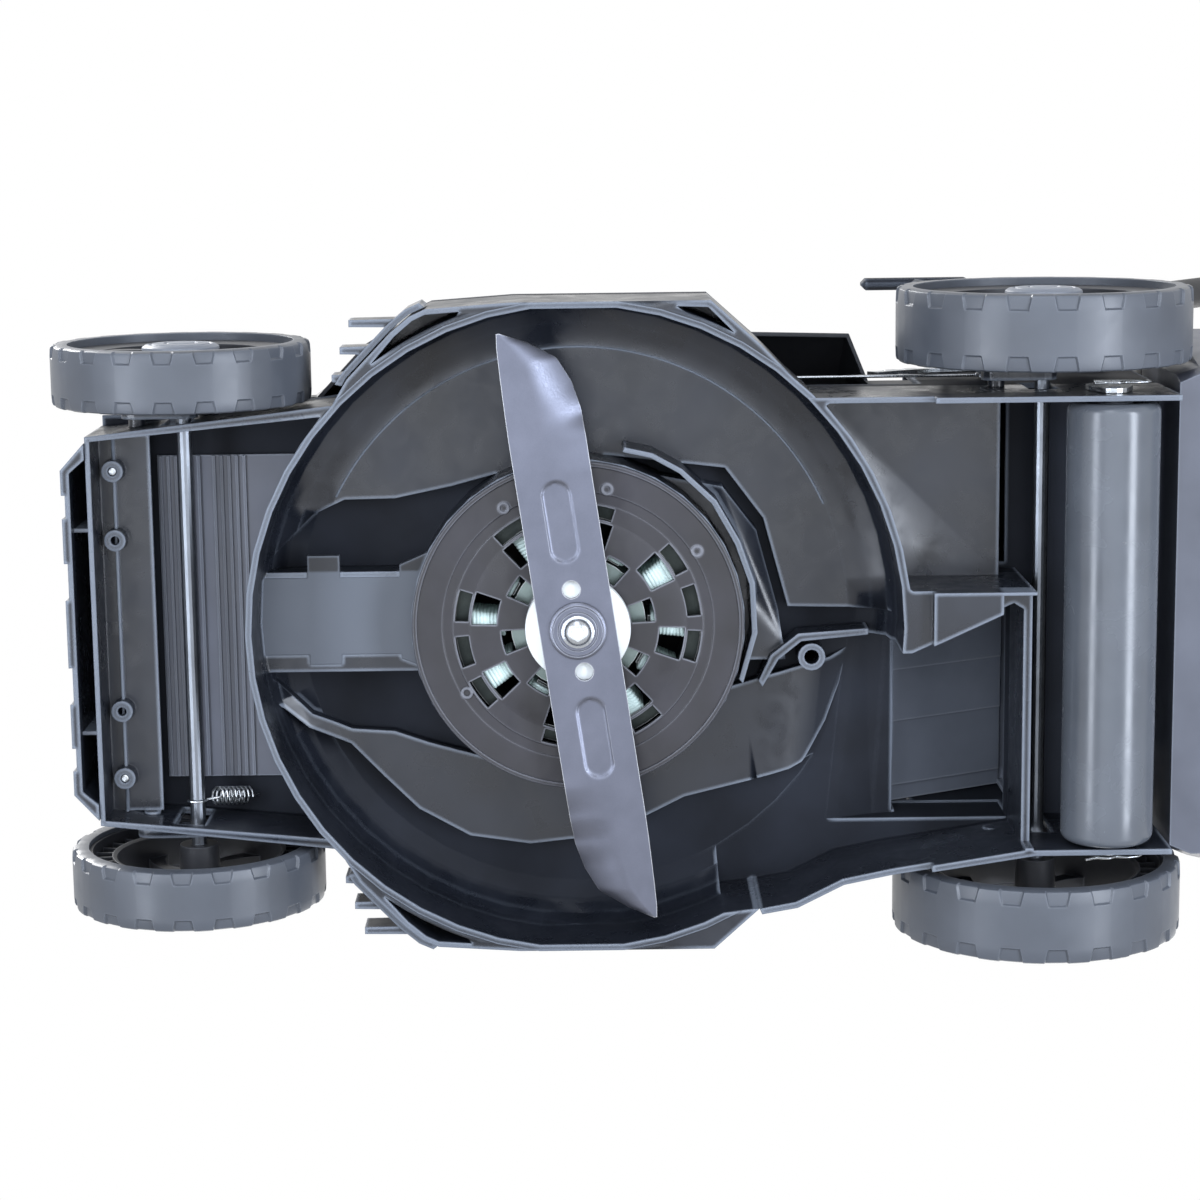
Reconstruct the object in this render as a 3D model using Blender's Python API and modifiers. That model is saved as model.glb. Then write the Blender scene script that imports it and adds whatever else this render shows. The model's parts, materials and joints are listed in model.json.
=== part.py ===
"""A cordless roller mower, built piece by piece.

The mower stands on the plane z = 0 with its nose towards -Y and its handle towards +Y.
Sizes and places are in millimetres from the point of the ground under the blade's axis,
and the helpers turn them into Blender's metres.
"""

from math import acos, atan2, cos, hypot, pi, radians, sin, tau

import bmesh
import bpy
from mathutils import Vector

MM = 0.001

# Where the blade's axis stands, so that the whole machine is centred on the world's origin
BLADE_AXIS_Y = -314.2

# Wheels: radius, width, distance of the middle plane from the centre line, axle place
REAR_WHEEL = {"radius": 95, "width": 48, "middle": 189, "y": 303, "z": 95}
FRONT_WHEEL = {"radius": 83, "width": 39, "middle": 165.1, "y": -253, "z": 83}
ROD_RADIUS = 5
ARM_LENGTH = 30
CRANK_HEIGHT = 52
LUGS = 20

# Deck
CHAMBER_RADIUS = 208
SKIRT = 4
DECK_RIM = 35
DECK_TOP = 120
CHAMBER_CEILING = 100
CHAMBER_ROOF = 112
FLAT_SIDE = 210
REAR_SIDE = 148
REAR_RIM = 26
REAR_END = 380
BODY_TOP = 222
WALL = 3.5
GAP = 0.4

# Blade and motor
BLADE_LENGTH = 395
BLADE_WIDTH = 49
BLADE_THICKNESS = 3.6
BLADE_Z = 41.4
BLADE_TURN = -8.2
WELL_RADIUS = 104
PLATE_Z = 58
STATOR_RADIUS = 80
ROTOR_RADIUS = 44
CORE_LOW = 70
CORE_HIGH = 108
DISC_TOP = 54.6

# Roller
ROLLER = {"radius": 29.5, "length": 295, "y": 341, "z": 46.5}

# Height lever
LEVER_LEAN = 12
LEVER_JOG = 100
LEVER_REACH = 178

# Handle
HANDLE_PIVOT = (352, 232)
HANDLE_SLOPE = 53
LOWER_LENGTH = 480
UPPER_LENGTH = 520
TUBE_RADIUS = 11
LOWER_X = 188
UPPER_X = 165.5

# Flap and grass box
FLAP_HINGE = (373, 231)
BOX_FRONT = 386
BOX_END = 800

COLOURS = {
    "black_plastic": ("#1B1C20", 0.45, 0.0),
    "grey_plastic": ("#6E7480", 0.5, 0.0),
    "pale_plastic": ("#D8DAD8", 0.4, 0.0),
    "blue_plastic": ("#1F3F8F", 0.4, 0.0),
    "red_plastic": ("#B3262A", 0.4, 0.0),
    "tyre_rubber": ("#3A3C40", 0.7, 0.0),
    "blade_steel": ("#4A4C54", 0.4, 0.7),
    "bright_steel": ("#B9BDC2", 0.3, 1.0),
    "zinc": ("#C9CCCE", 0.35, 1.0),
    "roller_grey": ("#6B6E74", 0.45, 0.0),
    "core_steel": ("#7C8C88", 0.5, 0.6),
    "circuit_board": ("#2E5A3C", 0.5, 0.0),
    "powder_coat": ("#26282C", 0.5, 0.2),
}


# Scene, collections and materials

for old in list(bpy.data.objects):
    bpy.data.objects.remove(old, do_unlink=True)

parts = bpy.data.collections.new("cordless_lawn_mower")
cutters = bpy.data.collections.new("cutters")
bpy.context.scene.collection.children.link(parts)
bpy.context.scene.collection.children.link(cutters)


def linear(hex_colour):
    values = [int(hex_colour[i : i + 2], 16) / 255 for i in (1, 3, 5)]
    return [v / 12.92 if v <= 0.04045 else ((v + 0.055) / 1.055) ** 2.4 for v in values] + [1]


def make_material(name, colour, roughness, metallic):
    material = bpy.data.materials.new(name)
    material.use_nodes = True
    shader = material.node_tree.nodes["Principled BSDF"]
    shader.inputs["Base Color"].default_value = linear(colour)
    shader.inputs["Roughness"].default_value = roughness
    shader.inputs["Metallic"].default_value = metallic
    return material


materials = {name: make_material(name, *values) for name, values in COLOURS.items()}


# Empties carry the joints' axes

def make_empty(name, at, parent=None):
    empty = bpy.data.objects.new(name, None)
    parts.objects.link(empty)
    empty.parent = parent
    empty.location = Vector(at) * MM
    return empty


mower = make_empty("mower", (0, BLADE_AXIS_Y, 0))
blade_axis = make_empty("blade_axis", (0, 0, 0), mower)
front_pivot = make_empty("front_pivot", (0, FRONT_WHEEL["y"] - ARM_LENGTH, FRONT_WHEEL["z"]), mower)
rear_pivot = make_empty("rear_pivot", (0, REAR_WHEEL["y"] - ARM_LENGTH, REAR_WHEEL["z"]), mower)
roller_axis = make_empty("roller_axis", (0, ROLLER["y"], ROLLER["z"]), mower)
handle_pivot = make_empty("handle_pivot", (0, *HANDLE_PIVOT), mower)


# Helpers: each returns an object of millimetre sizes turned to metres

def add_object(name, mesh, material, parent=mower, at=(0, 0, 0), turn=(0, 0, 0)):
    obj = bpy.data.objects.new(name, mesh)
    if material:
        mesh.materials.clear()
        mesh.materials.append(materials[material])
        parts.objects.link(obj)
    else:
        cutters.objects.link(obj)
        obj.hide_render = True
        obj.display_type = "WIRE"
    obj.parent = parent
    obj.location = Vector(at) * MM
    obj.rotation_euler = [radians(a) for a in turn]
    return obj


def mesh_from(name, bm):
    for vertex in bm.verts:
        vertex.co *= MM
    bmesh.ops.recalc_face_normals(bm, faces=bm.faces)
    mesh = bpy.data.meshes.new(name)
    bm.to_mesh(mesh)
    bm.free()
    mesh.shade_smooth()
    mesh.set_sharp_from_angle(angle=radians(35))
    return mesh


def box(name, low, high, material=None, parent=mower, bevel=0, turn=(0, 0, 0)):
    """A block between two corners, turned about its middle."""
    bm = bmesh.new()
    bmesh.ops.create_cube(bm, size=1)
    size = [b - a for a, b in zip(low, high)]
    bmesh.ops.scale(bm, vec=size, verts=bm.verts)
    if bevel:
        bmesh.ops.bevel(bm, geom=bm.edges, offset=bevel, segments=1, affect="EDGES")
    middle = [(a + b) / 2 for a, b in zip(low, high)]
    return add_object(name, mesh_from(name, bm), material, parent, middle, turn)


def rod(name, radius, start, end, material=None, parent=mower, sides=24):
    """A cylinder between two points."""
    bm = bmesh.new()
    way = Vector(end) - Vector(start)
    bmesh.ops.create_cone(
        bm,
        cap_ends=True,
        segments=sides,
        radius1=radius,
        radius2=radius,
        depth=way.length,
    )
    middle = (Vector(start) + Vector(end)) / 2
    obj = add_object(name, mesh_from(name, bm), material, parent, middle)
    obj.rotation_euler = way.to_track_quat("Z", "Y").to_euler()
    return obj


def turned(name, profile, steps, material=None, parent=mower, at=(0, 0, 0), turn=(0, 0, 0)):
    """A closed outline of (radius, height) points, turned about Z by a Screw modifier."""
    area = sum(a[0] * b[1] - b[0] * a[1] for a, b in zip(profile, profile[1:] + profile[:1]))
    points = profile if area < 0 else profile[::-1]
    bm = bmesh.new()
    corners = [bm.verts.new((radius * MM, 0, height * MM)) for radius, height in points]
    for here, there in zip(corners, corners[1:] + corners[:1]):
        if here.co.x > 0 or there.co.x > 0:
            bm.edges.new((here, there))
    mesh = bpy.data.meshes.new(name)
    bm.to_mesh(mesh)
    bm.free()
    obj = add_object(name, mesh, material, parent, at, turn)
    screw = obj.modifiers.new("turn", "SCREW")
    screw.steps = screw.render_steps = steps
    screw.use_merge_vertices = True
    screw.merge_threshold = 1e-6
    return obj


def plate(
    name, outline, low, high, material=None, parent=mower, holes=(), at=(0, 0, 0), turn=(0, 0, 0)
):
    """A flat outline with holes, as thick as from low to high."""
    curve = bpy.data.curves.new(name, "CURVE")
    curve.dimensions = "2D"
    curve.fill_mode = "BOTH"
    curve.extrude = (high - low) / 2 * MM
    for loop in (outline, *holes):
        spline = curve.splines.new("POLY")
        spline.points.add(len(loop) - 1)
        for point, (x, y) in zip(spline.points, loop):
            point.co = (x * MM, y * MM, 0, 1)
        spline.use_cyclic_u = True
    flat = bpy.data.objects.new(name, curve)
    cutters.objects.link(flat)
    bpy.context.view_layer.update()
    solid = flat.evaluated_get(bpy.context.evaluated_depsgraph_get())
    mesh = bpy.data.meshes.new_from_object(solid)
    bpy.data.objects.remove(flat, do_unlink=True)
    bm = bmesh.new()
    bm.from_mesh(mesh)
    bmesh.ops.remove_doubles(bm, verts=bm.verts, dist=1e-6)
    bmesh.ops.translate(bm, verts=bm.verts, vec=(0, 0, (low + high) / 2 * MM))
    bmesh.ops.recalc_face_normals(bm, faces=bm.faces)
    bm.to_mesh(mesh)
    bm.free()
    return add_object(name, mesh, material, parent, at, turn)


def side_plate(name, outline, low_x, high_x, material=None, parent=mower, holes=(), at=(0, 0, 0)):
    """A flat outline of (y, z) points, as thick along X as from low_x to high_x."""
    return plate(name, outline, low_x, high_x, material, parent, holes, at, turn=(90, 0, 90))


def loft(name, rings, material=None, parent=mower, closed_ends=(True, True), at=(0, 0, 0)):
    """A skin over rings that have the same number of (x, y, z) points."""
    bm = bmesh.new()
    rows = [[bm.verts.new(point) for point in ring] for ring in rings]
    for lower, upper in zip(rows, rows[1:]):
        for i in range(len(lower)):
            j = (i + 1) % len(lower)
            bm.faces.new((lower[i], lower[j], upper[j], upper[i]))
    if closed_ends[0]:
        bm.faces.new(rows[0][::-1])
    if closed_ends[1]:
        bm.faces.new(rows[-1])
    return add_object(name, mesh_from(name, bm), material, parent, at)


def tube(name, points, radius, material=None, parent=mower, resolution=2, at=(0, 0, 0)):
    """A round bar along points, made a mesh with welded caps."""
    curve = bpy.data.curves.new(name, "CURVE")
    curve.dimensions = "3D"
    curve.bevel_depth = radius * MM
    curve.bevel_resolution = resolution
    curve.use_fill_caps = True
    spline = curve.splines.new("POLY")
    spline.points.add(len(points) - 1)
    for target, point in zip(spline.points, points):
        target.co = (*(Vector(point) * MM), 1)
    bar = bpy.data.objects.new(name, curve)
    cutters.objects.link(bar)
    bpy.context.view_layer.update()
    solid = bar.evaluated_get(bpy.context.evaluated_depsgraph_get())
    mesh = bpy.data.meshes.new_from_object(solid)
    bpy.data.objects.remove(bar, do_unlink=True)
    bm = bmesh.new()
    bm.from_mesh(mesh)
    bmesh.ops.remove_doubles(bm, verts=bm.verts, dist=1e-6)
    bmesh.ops.recalc_face_normals(bm, faces=bm.faces)
    bm.to_mesh(mesh)
    bm.free()
    mesh.shade_smooth()
    return add_object(name, mesh, material, parent, at)


def cut(target, *tools):
    for tool in tools:
        modifier = target.modifiers.new(f"cut {tool.name}", "BOOLEAN")
        modifier.operation = "DIFFERENCE"
        modifier.object = tool
    return target


def fuse(target, *tools):
    for tool in tools:
        modifier = target.modifiers.new(f"fuse {tool.name}", "BOOLEAN")
        modifier.operation = "UNION"
        modifier.object = tool
    return target


# Outlines

def arc(middle, radius, start, end, count):
    """Points of an arc, angles in degrees, both ends included."""
    angles = [radians(start + (end - start) * i / (count - 1)) for i in range(count)]
    return [(middle[0] + radius * cos(a), middle[1] + radius * sin(a)) for a in angles]


def circle(middle, radius, count, start=0):
    return arc(middle, radius, start, start + 360 - 360 / count, count)


def clamped_circle(radius, limit, count):
    """A circle about the blade's axis whose sides are flattened at a distance."""
    return [(max(-limit, min(limit, x)), y) for x, y in circle((0, 0), radius, count)]


def strap(first, first_radius, second, second_radius, count=7):
    """The outline round two circles."""
    length = hypot(second[0] - first[0], second[1] - first[1])
    lean = atan2(second[1] - first[1], second[0] - first[0]) * 180 / pi
    spread = acos((first_radius - second_radius) / length) * 180 / pi
    back = arc(first, first_radius, lean + spread, lean + 360 - spread, count)
    front = arc(second, second_radius, lean - spread, lean + spread, count)
    return back + front


def both_sides(half):
    """A half outline at +X, front to rear, with its mirror image."""
    return list(half) + [(-x, y) for x, y in reversed(half)]


def flip(outline, side):
    """An outline drawn for the +X side, for the side that is asked for."""
    return [(side * x, y) for x, y in outline]


def rounded(points, bend, count=5):
    """A polyline of 3-D points with its inner corners made arcs."""
    path = [Vector(points[0])]
    for before, corner, after in zip(points, points[1:], points[2:]):
        before, corner, after = Vector(before), Vector(corner), Vector(after)
        start = corner + (before - corner).normalized() * bend
        end = corner + (after - corner).normalized() * bend
        for i in range(count):
            t = i / (count - 1)
            path.append(start * (1 - t) ** 2 + corner * 2 * t * (1 - t) + end * t**2)
    path.append(Vector(points[-1]))
    return path


# Deck: the moulded chassis with blade chamber, front channel, rear body and chute hood

# Where the low ceiling ends against the channels, from the nose to the rear
LEFT_CEILING = (
    (36, -206), (52, -190), (69, -173), (78.5, -152), (79, -119), (86.6, -82), (98, -39),
    (107, 10), (96.5, 97), (63, 122), (4, 138),
)
RIGHT_CEILING = (
    (-35, -204), (-48, -192), (-64, -177), (-75, -151), (-77, -123), (-85, -100), (-95, -64),
    (-86, -30), (-80, 20), (-70, 72), (-50, 98), (-42, 126), (-32, 166), (-20, 190), (-60, 178),
    (-96, 160), (-107, 139), (-124, 69), (-137, 43), (-151, 4), (-155, -34), (-149, -74),
    (-130, -108), (-107, -131), (-85, -152), (-73, -179), (-57, -196), (-42, -208),
)


def make_chamber(name, heights, radii):
    """The room of the chamber, a disc with flattened sides that narrows upwards."""
    rings = [
        [(x, y, height) for x, y in clamped_circle(radius, FLAT_SIDE - SKIRT, 48)]
        for height, radius in zip(heights, radii)
    ]
    return loft(name, rings)


def make_ramp():
    """The solid over the chute's ramp, which climbs to the tunnel and starts nearer on the right."""
    roof = [(212, 128.4), (212, 165), (95, 165)]
    right = [(95, 98), (124, 101.4), (148, 106.5), (172, 114.3), (196, 125.5), *roof]
    left = [(95, 98), (138, 101.4), (166, 106.5), (189, 114.3), (208, 125.5), *roof]
    ramp = loft("ramp_roof", [[(-150, y, z) for y, z in right], [(20, y, z) for y, z in left]])
    ramp.modifiers.new("flat faces", "TRIANGULATE")
    return ramp


def make_deck():
    front_half = [(148, -152), (163, -143), (192, -115), (202, -103), (206.5, -93), (210, -40)]
    front_half += [(210, 86), (182, 117), (152, 146)]
    rear_outline = [
        (150, 120), (REAR_SIDE, 150), (REAR_SIDE, REAR_END), (-REAR_SIDE, REAR_END),
        (-REAR_SIDE, 292), (-161.5, 202), (-168, 170), (-183, 140), (-187, 117), (-150, 100),
    ]
    ring = CHAMBER_RADIUS + SKIRT
    deck = plate("deck", clamped_circle(ring, FLAT_SIDE, 48), DECK_RIM, DECK_TOP, "black_plastic")
    fuse(
        deck,
        plate("corner_body", both_sides(front_half), DECK_RIM + 0.7, DECK_TOP),
        plate("channel_body", both_sides([(127, -312), (146, -146)]), 52, DECK_TOP),
        plate("channel_flange", both_sides([(134, -311), (134, -238), (146.8, -148)]), 116, DECK_TOP),
        plate("rear_body", rear_outline, REAR_RIM, DECK_TOP),
        box("tall_body", (-REAR_SIDE, 226, 100), (REAR_SIDE, REAR_END, BODY_TOP)),
        box("hood_body", (-147.5, 150, 100), (24, 291, 156)),
    )

    # Rims of unlike height, then the chamber under its low ceiling with a rolled shoulder,
    # and the deeper channels round the motor, at the nose and along the right side
    cut(
        deck,
        box("rear_rim_trim", (-200, 110, 20), (200, 226, DECK_RIM - 0.5)),
        box("hood_rim_trim", (-143, 270, 20), (22, 296, 45)),
        make_chamber(
            "chamber", (0, 80, 90, 96, CHAMBER_CEILING), (CHAMBER_RADIUS, CHAMBER_RADIUS, 203, 193, 177)
        ),
    )
    heights, radii = (60, 82, 99, 107, CHAMBER_ROOF), (198, 205.7, 203.6, 195, 184)
    channels = make_chamber("chamber_channels", heights, radii)
    cut(
        channels,
        plate("left_ceiling", [*LEFT_CEILING, (2, 225), (230, 225), (230, -225), (44, -225)], 60, 130),
        plate("right_ceiling", RIGHT_CEILING, 60, 130),
    )
    cut(deck, channels)
    for side in (1, -1):
        front_pocket = [(203.1, -93), (204.7, -71.5), *arc((0, 0), ring + 2.5, -20, -36.5, 5)]
        front_pocket += [(189.5, -112.7), (199.4, -101)]
        cut(deck, plate(f"front_pocket_{side}", flip(front_pocket, side), 20, 100))
    rear_pocket = [(205.8, 84.2), (206.5, 64.5), *arc((0, 0), ring + 2.5, 19, 28, 4)]
    cut(deck, plate("rear_pocket", rear_pocket, 20, 100))

    # Front channel: the plate with the bosses, then the open bay that the ribbed panel closes
    arc_half = arc((0, 0), ring + 0.5, -90, -49.5, 8)
    channel = [(-x, y) for x, y in arc_half[::-1]] + arc_half[1:] + [(124, -309), (-124, -309)]
    bay = [(-x, y) for x, y in arc((0, 0), ring + 4, -90, -62, 6)[::-1]]
    bay += arc((0, 0), ring + 4, -90, -62, 6)[1:] + [(104, -271), (-104, -271)]
    boss_plate = box("boss_plate", (-125, -310, 85), (125, -276, 88))
    cut(
        deck,
        plate("channel_room", channel, 40, 112),
        plate("bay_opening", bay, 105, 140),
    )
    fuse(deck, boss_plate)
    for x in (102, 57, -56, -101):
        fuse(deck, rod(f"boss_{x}", 7, (x, -299, 74), (x, -299, 87), sides=16))
        cut(deck, rod(f"boss_bore_{x}", 3, (x, -299, 60), (x, -299, 100), sides=12))
    fuse(deck, box("boss_rib", (-124.5, -299.8, 80), (124.5, -298.2, 86)))
    cut(deck, box("nose_room", (-119, -307, 91), (119, -279, 112)))

    # Rear section: the plated half, the bay of axle and roller, the chute's hood
    plated = [(144.5, 160), (144.5, 300), (24, 300), (24, 213.5)] + arc((0, 0), ring + 1, 83.2, 47.8, 6)
    hood = [(-144.5, 285.5), (10, 285.5), (14, 279), (-16, 213), (-16, 190)]
    hood += arc((0, 0), 180, 97, 150, 7)
    hood += [(-186, 92), (-183.3, 116.5), (-179.2, 139), (-164.2, 169), (-157.6, 201.5)]
    high_hood = [(-143.5, 285.5), (10, 285.5), (14, 279), (-16, 213), (-16, 104), (-143.5, 104)]
    ramp_room = cut(plate("high_hood_room", high_hood, 90, 152), make_ramp())
    cut(
        deck,
        plate("plated_room", plated, 10, 95),
        plate("hood_room", hood, 10, CHAMBER_ROOF - 0.3),
        ramp_room,
        box("roller_room", (-144.5, 291, 10), (144.5, 400, 124)),
        box("plate_top_room", (28, 222, 98.5), (144, 284, 130)),
        box("roller_room_front", (24, 276, 10), (144.5, 300, 124)),
    )

    # Tall body: the discharge tunnel's duct and the space beside it, open to the motor cover
    cut(
        deck,
        box("tunnel_room", (-142, 210, 127.5), (16, 400, 217)),
        box("side_room", (20, 210, 127.5), (144, 375, 217)),
    )

    # Motor well with the raised cable duct, the terrace beside it and the fence before the chute
    well = plate("well_wall", circle((0, 0), WELL_RADIUS + 4, 32, 5.625), PLATE_Z + 4, CHAMBER_ROOF + 2)
    duct = box("cable_duct", (-33, -209, 84), (33, -96, CHAMBER_ROOF + 2))
    terrace = [(97, 34), (85, 95), (56, 117), (4, 131), (-30, 136), (-30, 60), (60, 20)]
    volute = [(112, 30), (108, 48), (98, 66), (78, 87), (52, 101.5), (25, 111), (-7, 112.5), (-37, 104)]
    volute += [(-40, 106.5), (-7, 116), (26, 114.5), (53.5, 105), (80, 90), (100.5, 68), (111, 49), (115, 31)]
    fence = [(-47, 120.5), (-43, 118), (-26, 126), (-12, 144), (-9, 190), (-13, 190), (-17, 146), (-29, 131)]
    fuse(
        deck,
        well,
        duct,
        plate("terrace", terrace, 92, CHAMBER_ROOF + 2),
        plate("fence", fence, 86, CHAMBER_ROOF + 2),
        plate("volute_wall", volute, PLATE_Z + 5, CHAMBER_ROOF + 2),
        rod("spigot", 9, (-28, 153, 88), (-28, 153, CHAMBER_ROOF + 2), sides=16),
    )
    cut(
        deck,
        plate("well", circle((0, 0), WELL_RADIUS, 32, 5.625), PLATE_Z - 20, 140),
        box("duct_room", (-27, -203, 90), (27, -90, 140)),
        rod("spigot_bore", 5, (-28, 153, 70), (-28, 153, 140), sides=12),
    )

    # Lightening pockets in the top, under the motor cover
    left_pocket = arc((0, 0), 190, -61, 31, 9) + [(104, 98), (113, 12), (104, -37), (93, -80), (86, -116)]
    right_pocket = [(-89, -108), (-99, -70), *arc((0, 0), 113, 205, 155, 5), (-117, 62), (-131, 40)]
    right_pocket += [(-147, -6), (-149, -34), (-143, -71), (-125, -102), (-104, -122)]
    cut(
        deck,
        plate("left_pocket", left_pocket, CHAMBER_CEILING + SKIRT, 140),
        plate("right_pocket", right_pocket, CHAMBER_CEILING + SKIRT, 140),
    )

    # Slots for the two rods, pins that the swing arms turn on, holes for the roller's pins
    front_y, front_z = FRONT_WHEEL["y"], FRONT_WHEEL["z"]
    rear_y, rear_z = REAR_WHEEL["y"], REAR_WHEEL["z"]
    slot_back, slot_front, slot_half = 7, 12, 22
    pivot_y, roller_at = rear_y - ARM_LENGTH, (ROLLER["y"], ROLLER["z"])
    for side in (1, -1):
        slots = (("front", side * 133, front_y, front_z), ("rear", side * 146, rear_y, rear_z))
        for end, x, y, z in slots:
            low, high = (x - 9, y - slot_front, z - slot_half), (x + 9, y + slot_back, z + slot_half)
            cut(deck, box(f"{end}_slot_{side}", low, high))
        cut(
            deck,
            rod(f"arm_recess_{side}", 12, (side * 151.7, pivot_y, rear_z), (side * 175, pivot_y, rear_z)),
            rod(f"roller_hole_{side}", 5.5, (side * 140, *roller_at), (side * 152, *roller_at), sides=16),
        )
        fuse(
            deck,
            rod(
                f"front_pin_{side}", 5.5, (side * 125, front_y - ARM_LENGTH, front_z),
                (side * 141.2, front_y - ARM_LENGTH, front_z), sides=16,
            ),
            rod(
                f"rear_pin_{side}", 5.5, (side * 146, rear_y - ARM_LENGTH, rear_z),
                (side * 161, rear_y - ARM_LENGTH, rear_z), sides=16,
            ),
            side_plate(
                f"handle_ear_{side}",
                strap(HANDLE_PIVOT, 15, (HANDLE_PIVOT[0] - 6, 212), 20),
                min(side * 142, side * 163),
                max(side * 142, side * 163),
            ),
            rod(
                f"handle_boss_{side}", 13, (side * 155, *HANDLE_PIVOT), (side * 176, *HANDLE_PIVOT), sides=16
            ),
        )
    fuse(
        deck,
        *[
            side_plate(f"flap_lug_{x}", strap(FLAP_HINGE, 6, (FLAP_HINGE[0] - 1, 224), 6.6, 5), x - 3, x + 3)
            for x in (-131, 131)
        ],
    )
    return deck


make_deck()


# Nose piece: an open-bottomed channel with a stepped front edge and two ribs

def make_front_skirt():
    skirt = plate("front_skirt", both_sides([(106, -328), (123, -312.5)]), 50, 116, "black_plastic")
    cut(skirt, plate("skirt_room", both_sides([(104, -322.5), (116.5, -308)]), 40, 113))
    for low, high in ((-90, -75), (-46, -22), (22, 46), (75, 90)):
        cut(skirt, box(f"skirt_step_{low}", (low, -340, 40), (high, -325.6, 130)))
    for x in (66, -67):
        fuse(skirt, box(f"skirt_rib_{x}", (x - 1.2, -324, 60), (x + 1.2, -313, 114)))
    return skirt


make_front_skirt()


# Grass combs: a bar along the deck's front corner with three teeth

def make_comb(name, side):
    bar = [(158.4, -146.8), (163.7, -143.7), (192.8, -115.7), (202.8, -103.6), (207.3, -93.5)]
    bar += [(210, -97), (206, -106), (195.6, -118.4), (166, -147), (159.5, -151)]
    comb = plate(name, flip(bar, side), 42, 78, "black_plastic")
    for x, tip, root in ((197.5, -141.5, -113), (180.5, -147.5, -130), (163, -153, -147)):
        tooth = [(x - 2.6, root), (x + 2.6, root), (x + 2.2, tip), (x - 2.2, tip)]
        fuse(comb, plate(f"{name}_tooth_{x}", flip(tooth, side), 44, 66))
    return comb


make_comb("comb_left", 1)
make_comb("comb_right", -1)


# Ribbed panel under the battery bay, with the groove beside the front rod

def make_bay_floor():
    panel_arc = arc((0, 0), CHAMBER_RADIUS + SKIRT + 1, -120.5, -59.5, 15)
    outline = [(-108, -275), *panel_arc, (108, -275)]
    panel = plate("bay_floor", outline[::-1], 108.8, 111.6, "grey_plastic")
    for number in range(12):
        front = -274 + 5 * number
        if abs(front + 244) > 2:
            fuse(panel, box(f"panel_rib_{number}", (-107.5, front, 107.4), (107.5, front + 2.2, 110)))
    return panel


make_bay_floor()


# Motor plate: three staggered rings of windows round the shaft's hole

def window(inner, outer, middle, width, taper=0):
    """A window between two radii; the width is in degrees."""
    points = arc((0, 0), outer, middle - width / 2, middle + width / 2, 3)
    return points + arc((0, 0), inner, middle + width / 2 - taper, middle - width / 2 + taper, 2)


def make_motor_plate():
    holes = [circle((0, 0), 13, 16)]
    places, first = 16, 78
    for number in range(places):
        turn = first - 360 / places * number
        if number % 4 != 2:
            holes.append(window(72, 79.5, turn, 16))
        if number % 2:
            holes.append(window(53, 68, turn, 17))
        else:
            holes.append(window(35, 50, turn, 19))
    disc = circle((0, 0), WELL_RADIUS + 3.6, 32, 5.625)
    motor_plate = plate("motor_plate", disc, PLATE_Z, PLATE_Z + 3.6, "black_plastic", holes=holes)
    inner, outer, low, high = 88, WELL_RADIUS - 0.6, PLATE_Z + 3, PLATE_Z + 10
    ring = [(inner, low), (outer, low), (outer, high), (inner, high)]
    return fuse(motor_plate, turned("plate_ring", ring, 32))


def make_stator():
    teeth, slot_degrees = 12, 9
    bore = []
    for number in range(teeth):
        start = 360 / teeth * number
        bore += arc((0, 0), ROTOR_RADIUS + 1, start, start + 360 / teeth - slot_degrees, 3)
        bore += arc((0, 0), 70, start + 360 / teeth - slot_degrees, start + 360 / teeth, 2)
    rim = circle((0, 0), STATOR_RADIUS, 36)
    return plate("motor_stator", rim, CORE_LOW, CORE_HIGH, "core_steel", holes=[bore[::-1]])


make_motor_plate()
make_stator()
core_ends = ((0, 0, CORE_LOW), (0, 0, CORE_HIGH))
rotor = rod("motor_rotor", ROTOR_RADIUS, *core_ends, "core_steel", blade_axis, sides=32)
cut(rotor, rod("rotor_bore", 8.4, (0, 0, CORE_LOW - 10), (0, 0, CORE_HIGH + 10), parent=blade_axis, sides=16))
rod("motor_shaft", 8, (0, 0, DISC_TOP + 0.4), (0, 0, 124), "bright_steel", blade_axis, sides=16)
disc_low = BLADE_Z + BLADE_THICKNESS + GAP
disc_profile = [(4.5, disc_low), (22, disc_low), (32, disc_low + 4.6), (32, DISC_TOP), (4.5, DISC_TOP)]
turned("drive_disc", disc_profile, 20, "pale_plastic", blade_axis)


# Blade: a steel bar whose trailing edges rise into sails behind pointed tips

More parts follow.
